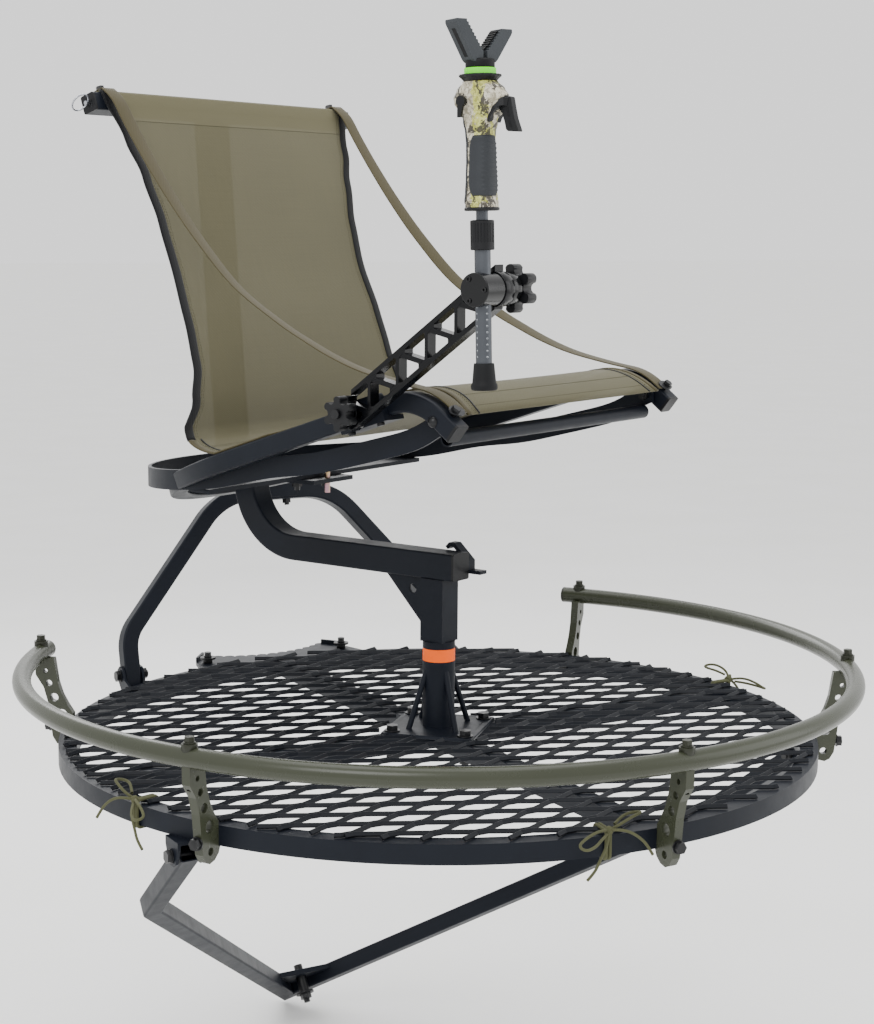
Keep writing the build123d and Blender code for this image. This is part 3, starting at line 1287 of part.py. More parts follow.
for name, shapes in {
    "clamp_head": clamp_head(), "clamp_cap_and_screws": [clamp_cap()] + clamp_screws(), "clamp_knob": clamp_knob(),
}.items():
    place(CLAMP, name, shapes)

for name, shapes in {
    "stick_tube": stick_tube(), "stick_foot": stick_foot(), "twist_collar": twist_collar(),
    "upper_tube": upper_tube(), "grip_body": grip_body() - grip_socket_cap() + trigger_pin(),
    "grip_collar": grip_collar() - grip_socket_cap(), "lime_ring": lime_ring(), "yoke": yoke(),
    "trigger": trigger(), "lock_lever": lock_lever(),
}.items():
    place(STICK, name, shapes)

os.makedirs("parts", exist_ok=True)
for name, solids in parts.items():
    piece = solids[0] if len(solids) == 1 else Compound(children=solids)
    export_step(piece, f"parts/{name}.step")
print(len(parts), "nodes")
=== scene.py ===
import json
import random
from math import atan2, ceil, cos, exp, hypot, pi, radians, sin, tan

import bpy
from mathutils import Matrix, Vector


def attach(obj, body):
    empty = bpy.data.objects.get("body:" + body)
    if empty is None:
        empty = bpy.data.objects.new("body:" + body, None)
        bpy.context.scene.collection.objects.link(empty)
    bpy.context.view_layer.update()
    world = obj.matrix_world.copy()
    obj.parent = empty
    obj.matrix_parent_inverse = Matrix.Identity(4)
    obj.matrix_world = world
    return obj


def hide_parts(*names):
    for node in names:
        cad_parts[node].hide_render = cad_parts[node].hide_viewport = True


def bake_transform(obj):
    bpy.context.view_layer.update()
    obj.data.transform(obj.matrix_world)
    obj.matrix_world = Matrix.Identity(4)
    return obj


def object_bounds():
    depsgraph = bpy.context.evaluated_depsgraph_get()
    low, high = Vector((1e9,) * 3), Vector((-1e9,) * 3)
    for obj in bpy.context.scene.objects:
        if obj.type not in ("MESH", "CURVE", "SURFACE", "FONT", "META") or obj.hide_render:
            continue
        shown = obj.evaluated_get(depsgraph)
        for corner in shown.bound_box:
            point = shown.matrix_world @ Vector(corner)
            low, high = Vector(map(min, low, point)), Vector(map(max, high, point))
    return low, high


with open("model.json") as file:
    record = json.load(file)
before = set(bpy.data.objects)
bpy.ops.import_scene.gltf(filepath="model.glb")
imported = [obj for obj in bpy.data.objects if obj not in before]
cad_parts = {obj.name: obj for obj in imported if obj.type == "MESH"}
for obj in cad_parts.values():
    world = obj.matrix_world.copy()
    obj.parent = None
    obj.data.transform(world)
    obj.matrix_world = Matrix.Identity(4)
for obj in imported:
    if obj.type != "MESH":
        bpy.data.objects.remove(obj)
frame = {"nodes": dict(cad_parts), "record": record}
CAD_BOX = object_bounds()
random.seed(7)

# ---- frames: lengths are in millimetres in the local frames, and become metres here --------
MM = 0.001
ROW = Matrix.Translation((0, -0.563, 0))
SEAT = ROW @ Matrix.Rotation(radians(-156), 4, "Z")
CLAMP = SEAT @ Matrix.Translation((0, 0.294, 0.636)) @ Matrix.Rotation(radians(1.6), 4, "X")
STICK = CLAMP @ Matrix.Translation((0.322, 0, 0))


def at(where, point):
    return where @ (Vector(point) * MM)


# ---- camera --------------------------------------------------------------------------------
forward = Vector((0.49354, 0.85765, -0.14438)).normalized()
right = Vector((0.86718, -0.49796, 0.00630))
right = (right - forward * right.dot(forward)).normalized()
upward = right.cross(forward)
camera_data = bpy.data.cameras.new("camera")
camera_data.lens = 68.966
camera_data.sensor_width = 36
camera = bpy.data.objects.new("camera", camera_data)
camera.matrix_world = Matrix((
    (right.x, upward.x, -forward.x, -1.36290),
    (right.y, upward.y, -forward.y, -2.92362),
    (right.z, upward.z, -forward.z, 0.70906),
    (0, 0, 0, 1)))
bpy.context.scene.collection.objects.link(camera)
bpy.context.scene.camera = camera


# ---- materials -----------------------------------------------------------------------------
def rgb(code):
    """Linear colour of an sRGB hex code."""
    parts = [int(code[i:i + 2], 16) / 255 for i in (0, 2, 4)]
    return tuple(c / 12.92 if c <= 0.04045 else ((c + 0.055) / 1.055) ** 2.4 for c in parts) + (1.0,)


class Nodes:
    """A material's node tree, with short calls for the nodes this scene uses."""

    def __init__(self, name):
        self.material = bpy.data.materials.new(name)
        self.material.use_nodes = True
        self.tree = self.material.node_tree
        self.shader = next(n for n in self.tree.nodes if n.type == "BSDF_PRINCIPLED")
        self.coords = self.tree.nodes.new("ShaderNodeTexCoord")

    def link(self, a, b):
        self.tree.links.new(a, b)

    def value(self, **inputs):
        for key, number in inputs.items():
            self.shader.inputs[key.replace("_", " ")].default_value = number

    def vector(self, source, scale):
        node = self.tree.nodes.new("ShaderNodeMapping")
        node.inputs["Scale"].default_value = scale
        self.link(self.coords.outputs[source], node.inputs["Vector"])
        return node.outputs["Vector"]

    def noise(self, vector, scale, detail=3.0, rough=0.5, distort=0.0):
        node = self.tree.nodes.new("ShaderNodeTexNoise")
        node.inputs["Scale"].default_value = scale
        node.inputs["Detail"].default_value = detail
        node.inputs["Roughness"].default_value = rough
        node.inputs["Distortion"].default_value = distort
        self.link(vector, node.inputs["Vector"])
        return node.outputs["Fac"]

    def ramp(self, factor, stops, constant=False):
        node = self.tree.nodes.new("ShaderNodeValToRGB")
        if constant:
            node.color_ramp.interpolation = "CONSTANT"
        while len(node.color_ramp.elements) < len(stops):
            node.color_ramp.elements.new(0.5)
        for element, (position, colour) in zip(node.color_ramp.elements, stops):
            element.position = position
            element.color = colour
        self.link(factor, node.inputs["Fac"])
        return node.outputs["Color"]

    def mix(self, factor, a, b):
        node = self.tree.nodes.new("ShaderNodeMix")
        node.data_type = "RGBA"
        for socket, entry in ((node.inputs[0], factor), (node.inputs[6], a), (node.inputs[7], b)):
            if isinstance(entry, bpy.types.NodeSocket):
                self.link(entry, socket)
            else:
                socket.default_value = entry
        return node.outputs[2]

    def math(self, operation, *terms):
        node = self.tree.nodes.new("ShaderNodeMath")
        node.operation = operation
        for socket, entry in zip(node.inputs, terms):
            if isinstance(entry, bpy.types.NodeSocket):
                self.link(entry, socket)
            else:
                socket.default_value = entry
        return node.outputs[0]

    def split(self, vector):
        node = self.tree.nodes.new("ShaderNodeSeparateXYZ")
        self.link(vector, node.inputs[0])
        return node.outputs

    def range(self, factor, low, high):
        node = self.tree.nodes.new("ShaderNodeMapRange")
        node.inputs["To Min"].default_value = low
        node.inputs["To Max"].default_value = high
        self.link(factor, node.inputs["Value"])
        return node.outputs["Result"]

    def bump(self, height, strength, distance):
        node = self.tree.nodes.new("ShaderNodeBump")
        node.inputs["Strength"].default_value = strength
        node.inputs["Distance"].default_value = distance
        self.link(height, node.inputs["Height"])
        self.link(node.outputs["Normal"], self.shader.inputs["Normal"])


def shade(colour, gain):
    return tuple(min(1.0, c * gain) for c in colour[:3]) + (1.0,)


def coated(name, code, rough, metal=0.0, level=0.5, grain=900, grain_depth=0.00012, vary=0.16,
           rough_spread=0.12, flecks=0.18):
    """Painted, plated or moulded surface: fine grain, slow change of tone, scuffed roughness."""
    n = Nodes(name)
    base = rgb(code)
    place = n.vector("Object", (1, 1, 1))
    slow = n.noise(place, 9, 4, 0.6)
    tone = n.ramp(slow, [(0.3, shade(base, 1 - vary)), (0.7, shade(base, 1 + vary))])
    speck = n.noise(place, 260, 2)
    fleck = n.ramp(speck, [(0.62, (0, 0, 0, 1)), (0.8, (1, 1, 1, 1))])
    tone = n.mix(n.math("MULTIPLY", fleck, flecks), tone, shade(base, 2.2))
    n.link(tone, n.shader.inputs["Base Color"])
    scuff = n.noise(place, 38, 6, 0.65)
    n.link(n.range(scuff, rough - rough_spread, rough + rough_spread), n.shader.inputs["Roughness"])
    n.value(Metallic=metal, Specular_IOR_Level=level)
    n.bump(n.noise(place, grain, 2), 0.35, grain_depth)
    return n.material


def woven(name, code, pitch, rough=0.85, hem=None, rib=False, contrast=0.42, alpha=1.0):
    """Cloth or webbing: yarns that cross, streaks along them, a soft sheen, and a lighter hem near its start."""
    n = Nodes(name)
    base = rgb(code)
    uv = n.split(n.vector("UV", (1, 1, 1)))
    turn = 2 * pi / pitch
    streaky = [(0.3, shade(base, 0.9)), (0.7, shade(base, 1.1))]
    warp = n.math("SINE", n.math("MULTIPLY", uv[0], turn))
    weft = n.math("SINE", n.math("MULTIPLY", uv[1], turn * 0.7 if rib else turn))
    cross = n.math("MULTIPLY", warp, weft)
    cross = n.math("ADD", cross, n.math("MULTIPLY", n.math("ABSOLUTE", warp), 0.5))
    streaks = n.noise(n.vector("UV", (420, 9, 1)), 1.0, 3)
    bars = n.noise(n.vector("UV", (7, 500, 1)), 1.0, 3)
    cloud = n.noise(n.vector("UV", (6, 6, 1)), 1.0, 4)
    tone = n.ramp(streaks, streaky)
    tone = n.mix(0.4, tone, n.ramp(bars, streaky))
    tone = n.mix(0.25, tone, n.ramp(cloud, [(0.35, shade(base, 0.86)), (0.65, shade(base, 1.12))]))
    yarn = n.ramp(n.range(cross, 0.0, 1.0), [(0.0, shade(base, 0.62)), (0.45, shade(base, 1.08))])
    tone = n.mix(contrast, tone, yarn)
    if hem:
        band = n.math("LESS_THAN", uv[1], hem)
        tone = n.mix(n.math("MULTIPLY", band, 0.5), tone, shade(base, 1.22))
    n.link(tone, n.shader.inputs["Base Color"])
    n.link(n.range(streaks, rough - 0.08, rough + 0.08), n.shader.inputs["Roughness"])
    n.value(Specular_IOR_Level=0.2, Sheen_Weight=0.12, Sheen_Roughness=0.5, Alpha=alpha)
    n.bump(cross, 0.35, 0.0004)
    return n.material


CAMO_AXIS = at(STICK, (0, 0, 165))    # a point on the handle's centre line
CAMO_ACROSS = (27.6, -96.1)           # level direction across the stripe, as centimetres per metre
STRIPE_SHIFT, STRIPE_HALF, STRIPE_WANDER = -1.1, 0.72, 3.4


def camouflage(name):
    """Moulded handle: cream with dark blotches, and a leaf-green stripe up one side."""
    n = Nodes(name)
    place = n.vector("Object", (1, 1, 1))
    big = n.noise(place, 60, 3, 0.62, 1.2)
    mid = n.noise(n.vector("Object", (1.2, 0.9, 1.1)), 150, 5, 0.68, 0.8)
    fine = n.noise(place, 260, 4, 0.65, 0.6)
    x, y, _ = n.split(place)
    across = n.math("ADD", n.math("MULTIPLY", n.math("SUBTRACT", x, CAMO_AXIS[0]), CAMO_ACROSS[0]),
                    n.math("MULTIPLY", n.math("SUBTRACT", y, CAMO_AXIS[1]), CAMO_ACROSS[1]))
    wander = n.math("MULTIPLY", n.math("SUBTRACT", big, 0.5), STRIPE_WANDER)
    offset = n.math("ABSOLUTE", n.math("ADD", n.math("ADD", across, wander), STRIPE_SHIFT))

    def below(value, limit):
        return n.ramp(value, [(0.0, (1, 1, 1, 1)), (limit, (0, 0, 0, 1))], constant=True)

    cream = n.ramp(mid, [(0.0, rgb("8d8670")), (0.46, rgb("b4ad98")), (0.54, rgb("cdc7b4")), (0.64, rgb("a8a18c"))],
                   constant=True)
    leaf = n.ramp(mid, [(0.0, rgb("8f8f3c")), (0.45, rgb("b3b45c")), (0.55, rgb("c4c57a")), (0.66, rgb("a3a352"))],
                  constant=True)
    tone = n.mix(below(offset, STRIPE_HALF), cream, leaf)
    patch = below(n.noise(place, 75, 2, 0.5, 0.5), 0.47)
    dark = below(n.noise(place, 230, 5, 0.7, 0.4), 0.55)
    tone = n.mix(n.math("MULTIPLY", n.math("MULTIPLY", patch, dark), 0.93), tone, rgb("211c16"))
    tone = n.mix(n.math("MULTIPLY", below(fine, 0.4), 0.6), tone, rgb("4a4234"))
    n.link(tone, n.shader.inputs["Base Color"])
    n.link(n.range(fine, 0.38, 0.6), n.shader.inputs["Roughness"])
    n.bump(n.noise(place, 700, 2), 0.25, 0.0001)
    return n.material


def plated(name, code, second, rough):
    """Zinc or chrome plate with a faint play of colour."""
    n = Nodes(name)
    place = n.vector("Object", (1, 1, 1))
    play = n.noise(place, 70, 3, 0.6, 0.8)
    n.link(n.ramp(play, [(0.35, rgb(code)), (0.65, rgb(second))]), n.shader.inputs["Base Color"])
    n.link(n.range(n.noise(place, 300, 4), rough - 0.08, rough + 0.12), n.shader.inputs["Roughness"])
    n.value(Metallic=1.0)
    n.bump(n.noise(place, 1200, 2), 0.2, 0.00005)
    return n.material


MATERIALS = {
    "frame_powder_coat": coated("frame_powder_coat", "12161e", 0.44, level=0.15),
    "mesh_powder_coat": coated("mesh_powder_coat", "101319", 0.46, level=0.17),
    "black_hardware": coated("black_hardware", "0b0c0f", 0.36, level=0.35),
    "rail_olive": coated("rail_olive", "34372a", 0.27, level=0.34, grain_depth=0.00003, vary=0.05,
                         rough_spread=0.03, flecks=0.0),
    "rail_hardware": coated("rail_hardware", "23251a", 0.36, level=0.35),
    "orange_bushing": coated("orange_bushing", "ff6408", 0.5, level=0.2, vary=0.05),
    "black_plastic": coated("black_plastic", "0b0c0f", 0.48, level=0.28, grain=600, grain_depth=0.0002),
    "rail_cap_plastic": coated("rail_cap_plastic", "1f2118", 0.45, level=0.3),
    "knob_plastic": coated("knob_plastic", "0b0c0f", 0.40, level=0.3, grain=500, grain_depth=0.0002),
    "khaki_mesh_fabric": woven("khaki_mesh_fabric", "5a563f", 0.0031, hem=0.062, contrast=0.26, alpha=0.87),
    "olive_webbing": woven("olive_webbing", "453f28", 0.0034, rib=True),
    "tie_cord": coated("tie_cord", "4d4e37", 0.8, level=0.2, grain=420, grain_depth=0.0006),
    "zinc_wire": plated("zinc_wire", "c9b36a", "b58f9a", 0.3),
    "ring_steel": plated("ring_steel", "b9bcc2", "a4a7ad", 0.24),
    "arm_gloss_black": coated("arm_gloss_black", "07080b", 0.2, level=0.22, rough_spread=0.06),
    "clamp_gloss_black": coated("clamp_gloss_black", "07080a", 0.17, level=0.34, rough_spread=0.05),
    "stick_grey": coated("stick_grey", "4a4d52", 0.4, metal=0.6, level=0.4),
    "black_rubber": coated("black_rubber", "0e0f11", 0.62, level=0.22, grain=500, grain_depth=0.0003),
    "camo_handle": camouflage("camo_handle"),
    "lime_plastic": coated("lime_plastic", "74f52e", 0.45, level=0.25, vary=0.04),
    "edge_binding": woven("edge_binding", "0b0c0f", 0.0042, rough=0.7, rib=True),
    "thread": coated("thread", "4e4b38", 0.8, level=0.2),
    "grip_rubber": coated("grip_rubber", "24272b", 0.6, level=0.35, grain=450, grain_depth=0.0004),
    "yoke_rubber": coated("yoke_rubber", "303438", 0.58, level=0.35, grain=450, grain_depth=0.0004),
    "tube_dots": coated("tube_dots", "a9adb2", 0.3, metal=0.8),
}

NODE_SLOTS = {part["node"]: part["material_slot"] for part in frame["record"]["subparts"]}


# ---- mesh helpers --------------------------------------------------------------------------
def piece(name, where, verts, faces, body, material, slot=None, smooth=True, uvs=None):
    """A mesh object, from vertices in the frame `where`, riding a body. UVs are in millimetres too."""
    mesh = bpy.data.meshes.new(name)
    mesh.from_pydata([at(where, v) for v in verts], [], faces)
    if uvs:
        layer = mesh.uv_layers.new(name="UVMap")
        for loop in mesh.loops:
            layer.data[loop.index].uv = [c * MM for c in uvs[loop.vertex_index]]
    for polygon in mesh.polygons:
        polygon.use_smooth = smooth
    mesh.update()
    mesh.materials.append(MATERIALS[material])
    thing = bpy.data.objects.new(name, mesh)
    bpy.context.scene.collection.objects.link(thing)
    if body:
        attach(thing, body)
    return thing


def applied(thing):
    """The same object with its modifiers applied to its mesh."""
    graph = bpy.context.evaluated_depsgraph_get()
    made = bpy.data.meshes.new_from_object(thing.evaluated_get(graph), depsgraph=graph)
    thing.modifiers.clear()
    thing.data = made
    return thing


def thickened(thing):
    """Gives a single-layer cloth its thickness."""
    thick = thing.modifiers.new("thick", "SOLIDIFY")
    thick.thickness = CLOTH_THICK * MM
    thick.offset = 0.0
    return applied(thing)


def bevel(thing, width, segments=2, angle=35, weld=False):
    if weld:
        merge = thing.modifiers.new("weld", "WELD")
        merge.merge_threshold = 0.00002
    edge = thing.modifiers.new("bevel", "BEVEL")
    edge.width = width * MM
    edge.segments = segments
    edge.limit_method = "ANGLE"
    edge.angle_limit = radians(angle)
    edge.harden_normals = True
    return thing


def grid_faces(rows, columns, closed=False):
    faces = []
    for i in range(rows - 1):
        for j in range(columns if closed else columns - 1):
            k = (j + 1) % columns
            faces.append((i * columns + j, i * columns + k, (i + 1) * columns + k, (i + 1) * columns + j))
    return faces


def tube_faces(rings, corners):
    """Faces of a solid made of rings one after another, closed at both ends."""
    last = (rings - 1) * corners
    return grid_faces(rings, corners, closed=True) + [tuple(range(corners - 1, -1, -1)),
                                                      tuple(range(last, last + corners))]


def signed_power(value, power):
    return abs(value) ** power * (1 if value > 0 else -1)


def turns(count):
    """Angles of that many corners round a circle."""
    return [2 * pi * k / count for k in range(count)]


def smooth_line(points, step):
    """Points a step apart along the Catmull-Rom curve through the given points."""
    dense = []
    for i in range(len(points) - 1):
        p0, p1 = points[max(i - 1, 0)], points[i]
        p2, p3 = points[i + 1], points[min(i + 2, len(points) - 1)]
        count = max(2, ceil(hypot(*[b - a for a, b in zip(p1, p2)]) / step))
        for k in range(count):
            t = k / count
            dense.append(tuple(
                0.5 * (2 * b + (c - a) * t + (2 * a - 5 * b + 4 * c - d) * t * t + (3 * b - a - 3 * c + d) * t ** 3)
                for a, b, c, d in zip(p0, p1, p2, p3)))
    dense.append(tuple(points[-1]))
    return dense


def lerp_table(table, key):
    """Value from a table of (key, value...) rows with keys in rising or falling order."""
    rows = sorted(table)
    if key <= rows[0][0]:
        return rows[0][1:]
    for low, high in zip(rows, rows[1:]):
        if key <= high[0]:
            t = (key - low[0]) / (high[0] - low[0])
            t = t * t * (3 - 2 * t)
            return tuple(a + (b - a) * t for a, b in zip(low[1:], high[1:]))
    return rows[-1][1:]


def prism(outline, x0, x1):
    """Closed solid: a y-z outline from x0 to x1."""
    count = len(outline)
    verts = [(x0, y, z) for y, z in outline] + [(x1, y, z) for y, z in outline]
    faces = [tuple(range(count - 1, -1, -1)), tuple(range(count, 2 * count))]
    faces += [(i, (i + 1) % count, count + (i + 1) % count, count + i) for i in range(count)]
    return verts, faces


def lathe(profile, segments):
    """Closed solid of revolution about the z axis, from (radius, height) pairs."""
    verts = [(radius * cos(a), radius * sin(a), height) for radius, height in profile for a in turns(segments)]
    return verts, tube_faces(len(profile), segments)


def joined(*solids):
    """Vertices and faces of several solids as one mesh."""
    verts, faces = [], []
    for more_verts, more_faces in solids:
        first = len(verts)
        verts.extend(more_verts)
        faces.extend(tuple(first + i for i in face) for face in more_faces)
    return verts, faces


# ---- CAD nodes that keep their shape -------------------------------------------------------
for name, thing in frame["nodes"].items():
    thing.data.materials.clear()
    thing.data.materials.append(MATERIALS[NODE_SLOTS[name]])

BEVELLED = {
    "spokes": 1.0, "hub_plate": 0.8, "platform_bolts": 0.5, "tree_blade": 0.8, "strap_posts": 0.4,
    "arch_clevises": 0.7, "brace_clevises": 0.7, "rail_brackets": 0.8, "rail_bolts": 0.4,
    "apex_plate": 0.7, "arch_strap_bracket": 0.7, "arm_gusset": 0.6, "gear_hook": 0.6,
    "seat_plates": 0.8, "seat_bolts": 0.4, "seat_end_caps": 0.6, "corner_bolts": 0.4, "hinge_ears": 0.6,
    "rail_clamp": 0.8, "bar_end_caps": 0.5, "strap_bolts": 0.4, "truss_arm": 0.7, "arm_knob": 1.2,
    "clamp_knob": 1.6, "clamp_cap_and_screws": 0.4, "lock_lever": 0.8,
}
for name, width in BEVELLED.items():
    bevel(frame["nodes"][name], width, weld=True)


# ---- expanded mesh of the platform ---------------------------------------------------------
MESH_LONG, MESH_SHORT = 95.6, 43.6
BOND_X, BOND_Y = -249.8, -301.0
MESH_EDGE = 525.0
WINDOW = 103.2            # reach of the hub window's corners
STRAND = (6.2, 2.4)       # width and thickness of a strand
STRAND_TILT = radians(42)
STRAND_ROWS = range(-11, 40)
STRAND_BENDS = range(-14, 22)
FLAT, OFFSET = 7.5, 2.6   # half length of a bond's flat, and its distance from the row's edge


def inside(x, y):
    return hypot(x, y) < MESH_EDGE and abs(x) + abs(y) > WINDOW


def cut_point(a, b):
    """Where the run from a, inside, to b, outside, leaves the sheet."""
    for _ in range(18):
        m = ((a[0] + b[0]) / 2, (a[1] + b[1]) / 2, (a[2] + b[2]) / 2)
        if inside(m[0], m[1]):
            a = m
        else:
            b = m
    return a


def strand_runs(row):
    """The parts of one zigzag strand that lie on the platform."""
    low = BOND_Y + row * MESH_SHORT / 2
    high = low + MESH_SHORT / 2
    start = BOND_X + (0 if row % 2 == 0 else MESH_LONG / 2)
    points = []
    for k in STRAND_BENDS:
        x = start + k * MESH_LONG / 2
        y = low + OFFSET if k % 2 == 0 else high - OFFSET
        points.extend([(x - FLAT, y, 0.0), (x + FLAT, y, 0.0)])
    runs, run = [], []
    steps = 5
    for a, b in zip(points, points[1:]):
        for s in range(steps):
            p = tuple(u + (v - u) * s / steps for u, v in zip(a, b))
            q = tuple(u + (v - u) * (s + 1) / steps for u, v in zip(a, b))
            if inside(p[0], p[1]):
                if not run:
                    run.append(p)
                if inside(q[0], q[1]):
                    run.append(q)
                else:
                    run.append(cut_point(p, q))
                    runs.append(run)
                    run = []
            elif inside(q[0], q[1]):
                run = [cut_point(q, p), q]
    if len(run) > 1:
        runs.append(run)
    return [r for r in runs if hypot(r[-1][0] - r[0][0], r[-1][1] - r[0][1]) > 6]


def strand(run, raised):
    """Tilted flat strip along a run, corners eased."""
    half_w, half_t, ease = STRAND[0] / 2, STRAND[1] / 2, 0.5
    section = [(-half_w, -half_t + ease), (-half_w + ease, -half_t), (half_w - ease, -half_t),
               (half_w, -half_t + ease), (half_w, half_t - ease), (half_w - ease, half_t),
               (-half_w + ease, half_t), (-half_w, half_t - ease)]
    c, s = cos(STRAND_TILT), sin(STRAND_TILT)
    lift = half_w * s + half_t * c + 0.25
    verts = []
    for i, p in enumerate(run):
        a, b = run[max(i - 1, 0)], run[min(i + 1, len(run) - 1)]
        d = hypot(b[0] - a[0], b[1] - a[1])
        tx, ty = (b[0] - a[0]) / d, (b[1] - a[1]) / d
        for u, v in section:
            side, up = u * c - v * s, u * s + v * c
            verts.append((p[0] - ty * side, p[1] + tx * side, lift + up + raised))
    return verts, tube_faces(len(run), len(section))


strands = []
for row in STRAND_ROWS:
    for run in strand_runs(row):
        strands.append(strand(run, random.uniform(0, 0.5)))
mesh = piece("platform_mesh", ROW, *joined(*strands), "platform", "mesh_powder_coat", "mesh_powder_coat",
             smooth=False)
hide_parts("mesh_grille")


# ---- sling ---------------------------------------------------------------------------------
SLOPE, DROP = radians(18.43), radians(38)
TUBE_HALF = 12.7
NOSE = 80                # radius of the side tubes' front bend
NOSE_Y = 118             # where that bend starts
CLOTH_LIFT = 14.6        # cloth's middle surface above the tube's centre line
CLOTH_THICK = 1.6


def seat_line(y):
    """Height of the side tubes' centre line."""
    return 449.0 + y * tan(SLOPE)


FRONT_CENTRE = (NOSE_Y + NOSE * sin(SLOPE), seat_line(NOSE_Y) - NOSE * cos(SLOPE))
BAR = (-396.0, 872.0)


def on_bar(y, z):
    """A point in the top bar's square section, which leans with the seat's slope."""
    return (BAR[0] + y * cos(SLOPE) - z * sin(SLOPE), BAR[1] + y * sin(SLOPE) + z * cos(SLOPE))


def arc_points(radius, start, end, count):
    """Points over the side tubes' front bend."""
    cy, cz = FRONT_CENTRE
    angles = [start + (end - start) * k / count for k in range(count + 1)]
    return [(cy - radius * sin(a), cz + radius * cos(a)) for a in angles]


BACK_LINE = [(-361, 823), (-344, 774), (-325, 711), (-305, 648), (-278, 579), (-258.5, 518), (-247, 470),
             (-242.5, 430)]


def sling_profile():
    """Side view of the cloth's middle surface from the top bar to the front corners."""
    turn = [on_bar(-6, CLOTH_LIFT), on_bar(10.5, CLOTH_LIFT), on_bar(13.4, 13.4), on_bar(CLOTH_LIFT, 10.5),
            on_bar(CLOTH_LIFT, -6)]
    back = smooth_line([on_bar(CLOTH_LIFT, -6)] + BACK_LINE, 9)
    rear = (-175 - sin(SLOPE) * CLOTH_LIFT, seat_line(-175) + cos(SLOPE) * CLOTH_LIFT)
    over = arc_points(NOSE + CLOTH_LIFT, SLOPE, -DROP, 12)
    low = smooth_line([(-242.5, 430), (-236, 417), (-221, 409.6), (-201, 405.5), rear], 5)
    seat = smooth_line([rear, over[0]], 12)
    tail = (over[-1][0] + 14 * cos(DROP), over[-1][1] - 14 * sin(DROP))
    return turn + back[1:] + low[1:] + seat[1:] + over[1:] + [tail]


WIDTHS = [(430, 257), (470, 236), (518, 222), (579, 218), (648, 213), (711, 217), (774, 228), (823, 243), (890, 263)]


def half_width(y, z):
    """Half the cloth's width at a point of its side view."""
    if y > -246 and z < 436:
        return 257 + 11 * min(1.0, max(0.0, (y + 243) / 60))
    return lerp_table(WIDTHS, z)[0]


def lengths_along(line):
    total = [0.0]
    for a, b in zip(line, line[1:]):
        total.append(total[-1] + hypot(b[0] - a[0], b[1] - a[1]))
    return total


PROFILE = sling_profile()
ALONG = lengths_along(PROFILE)


def normals(line):
    """Unit normals of a y-z line, on its left as it runs."""
    out = []
    for i in range(len(line)):
        a, b = line[max(i - 1, 0)], line[min(i + 1, len(line) - 1)]
        d = hypot(b[0] - a[0], b[1] - a[1])
        out.append((-(b[1] - a[1]) / d, (b[0] - a[0]) / d))
    return out


NORMALS = normals(PROFILE)
COLUMNS = 44


def hang(y, z, across):
    """How far the cloth's middle gives, below the straight line between its edges."""
    give = 1 - across * across
    if y > -190:
        middle = exp(-((y + 20) / 130) ** 2)
        return 5.0 * middle * give
    if z > 440:
        return 5.0 * sin(pi * min(1.0, max(0.0, (z - 430) / 430))) * give
    return 0.0


def sling_point(i, across):
    y, z = PROFILE[i]
    ny, nz = NORMALS[i]
    give = hang(y, z, across)
    return (across * half_width(y, z), y - ny * give, z - nz * give)


verts, uvs = [], []
for i in range(len(PROFILE)):
    for j in range(COLUMNS + 1):
        across = 2 * j / COLUMNS - 1
        p = sling_point(i, across)
        verts.append(p)
        uvs.append((p[0], ALONG[i]))
sling = piece("sling", SEAT, verts, grid_faces(len(PROFILE), COLUMNS + 1), None, "khaki_mesh_fabric",
              "khaki_mesh_fabric", uvs=uvs)
thickened(sling)
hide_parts("seat_sling", "back_sling")


def strip(indices, across_of, width, thickness, lift=0.0):
    """Band with rounded edges that follows the cloth at a place across it."""
    section = [(signed_power(cos(a), 0.5) * width / 2, signed_power(sin(a), 0.6) * thickness / 2)
               for a in turns(12)]
    verts, uvs = [], []
    for i in indices:
        x, y, z = across_of(i)
        ny, nz = NORMALS[i]
        for u, v in section:
            verts.append((x + u, y + ny * (v + lift), z + nz * (v + lift)))
            uvs.append((u, ALONG[i]))
    return verts, tube_faces(len(indices), 12), uvs


def stitches(lines, pitch=4.2, length=2.9, radius=0.42):
    """Raised thread stitches along lines of (point, normal) pairs."""
    solids = []
    for line in lines:
        walked, target = 0.0, 0.0
        for (a, na), (b, nb) in zip(line, line[1:]):
            start, end_point = Vector(a), Vector(b)
            run = (end_point - start).length
            while run and target <= walked + run:
                t = (target - walked) / run
                p = start.lerp(end_point, t)
                n = Vector(na).lerp(Vector(nb), t).normalized()
                d = (end_point - start).normalized()
                s = d.cross(n)
                verts = []
                for end in (-1, -0.55, 0.55, 1):
                    r = radius if abs(end) < 0.9 else radius * 0.35
                    verts += [p + d * end * length / 2 + (s * cos(a) + n * sin(a)) * r for a in turns(5)]
                solids.append((verts, tube_faces(4, 5)))
                target += pitch
            walked += run
    return joined(*solids)


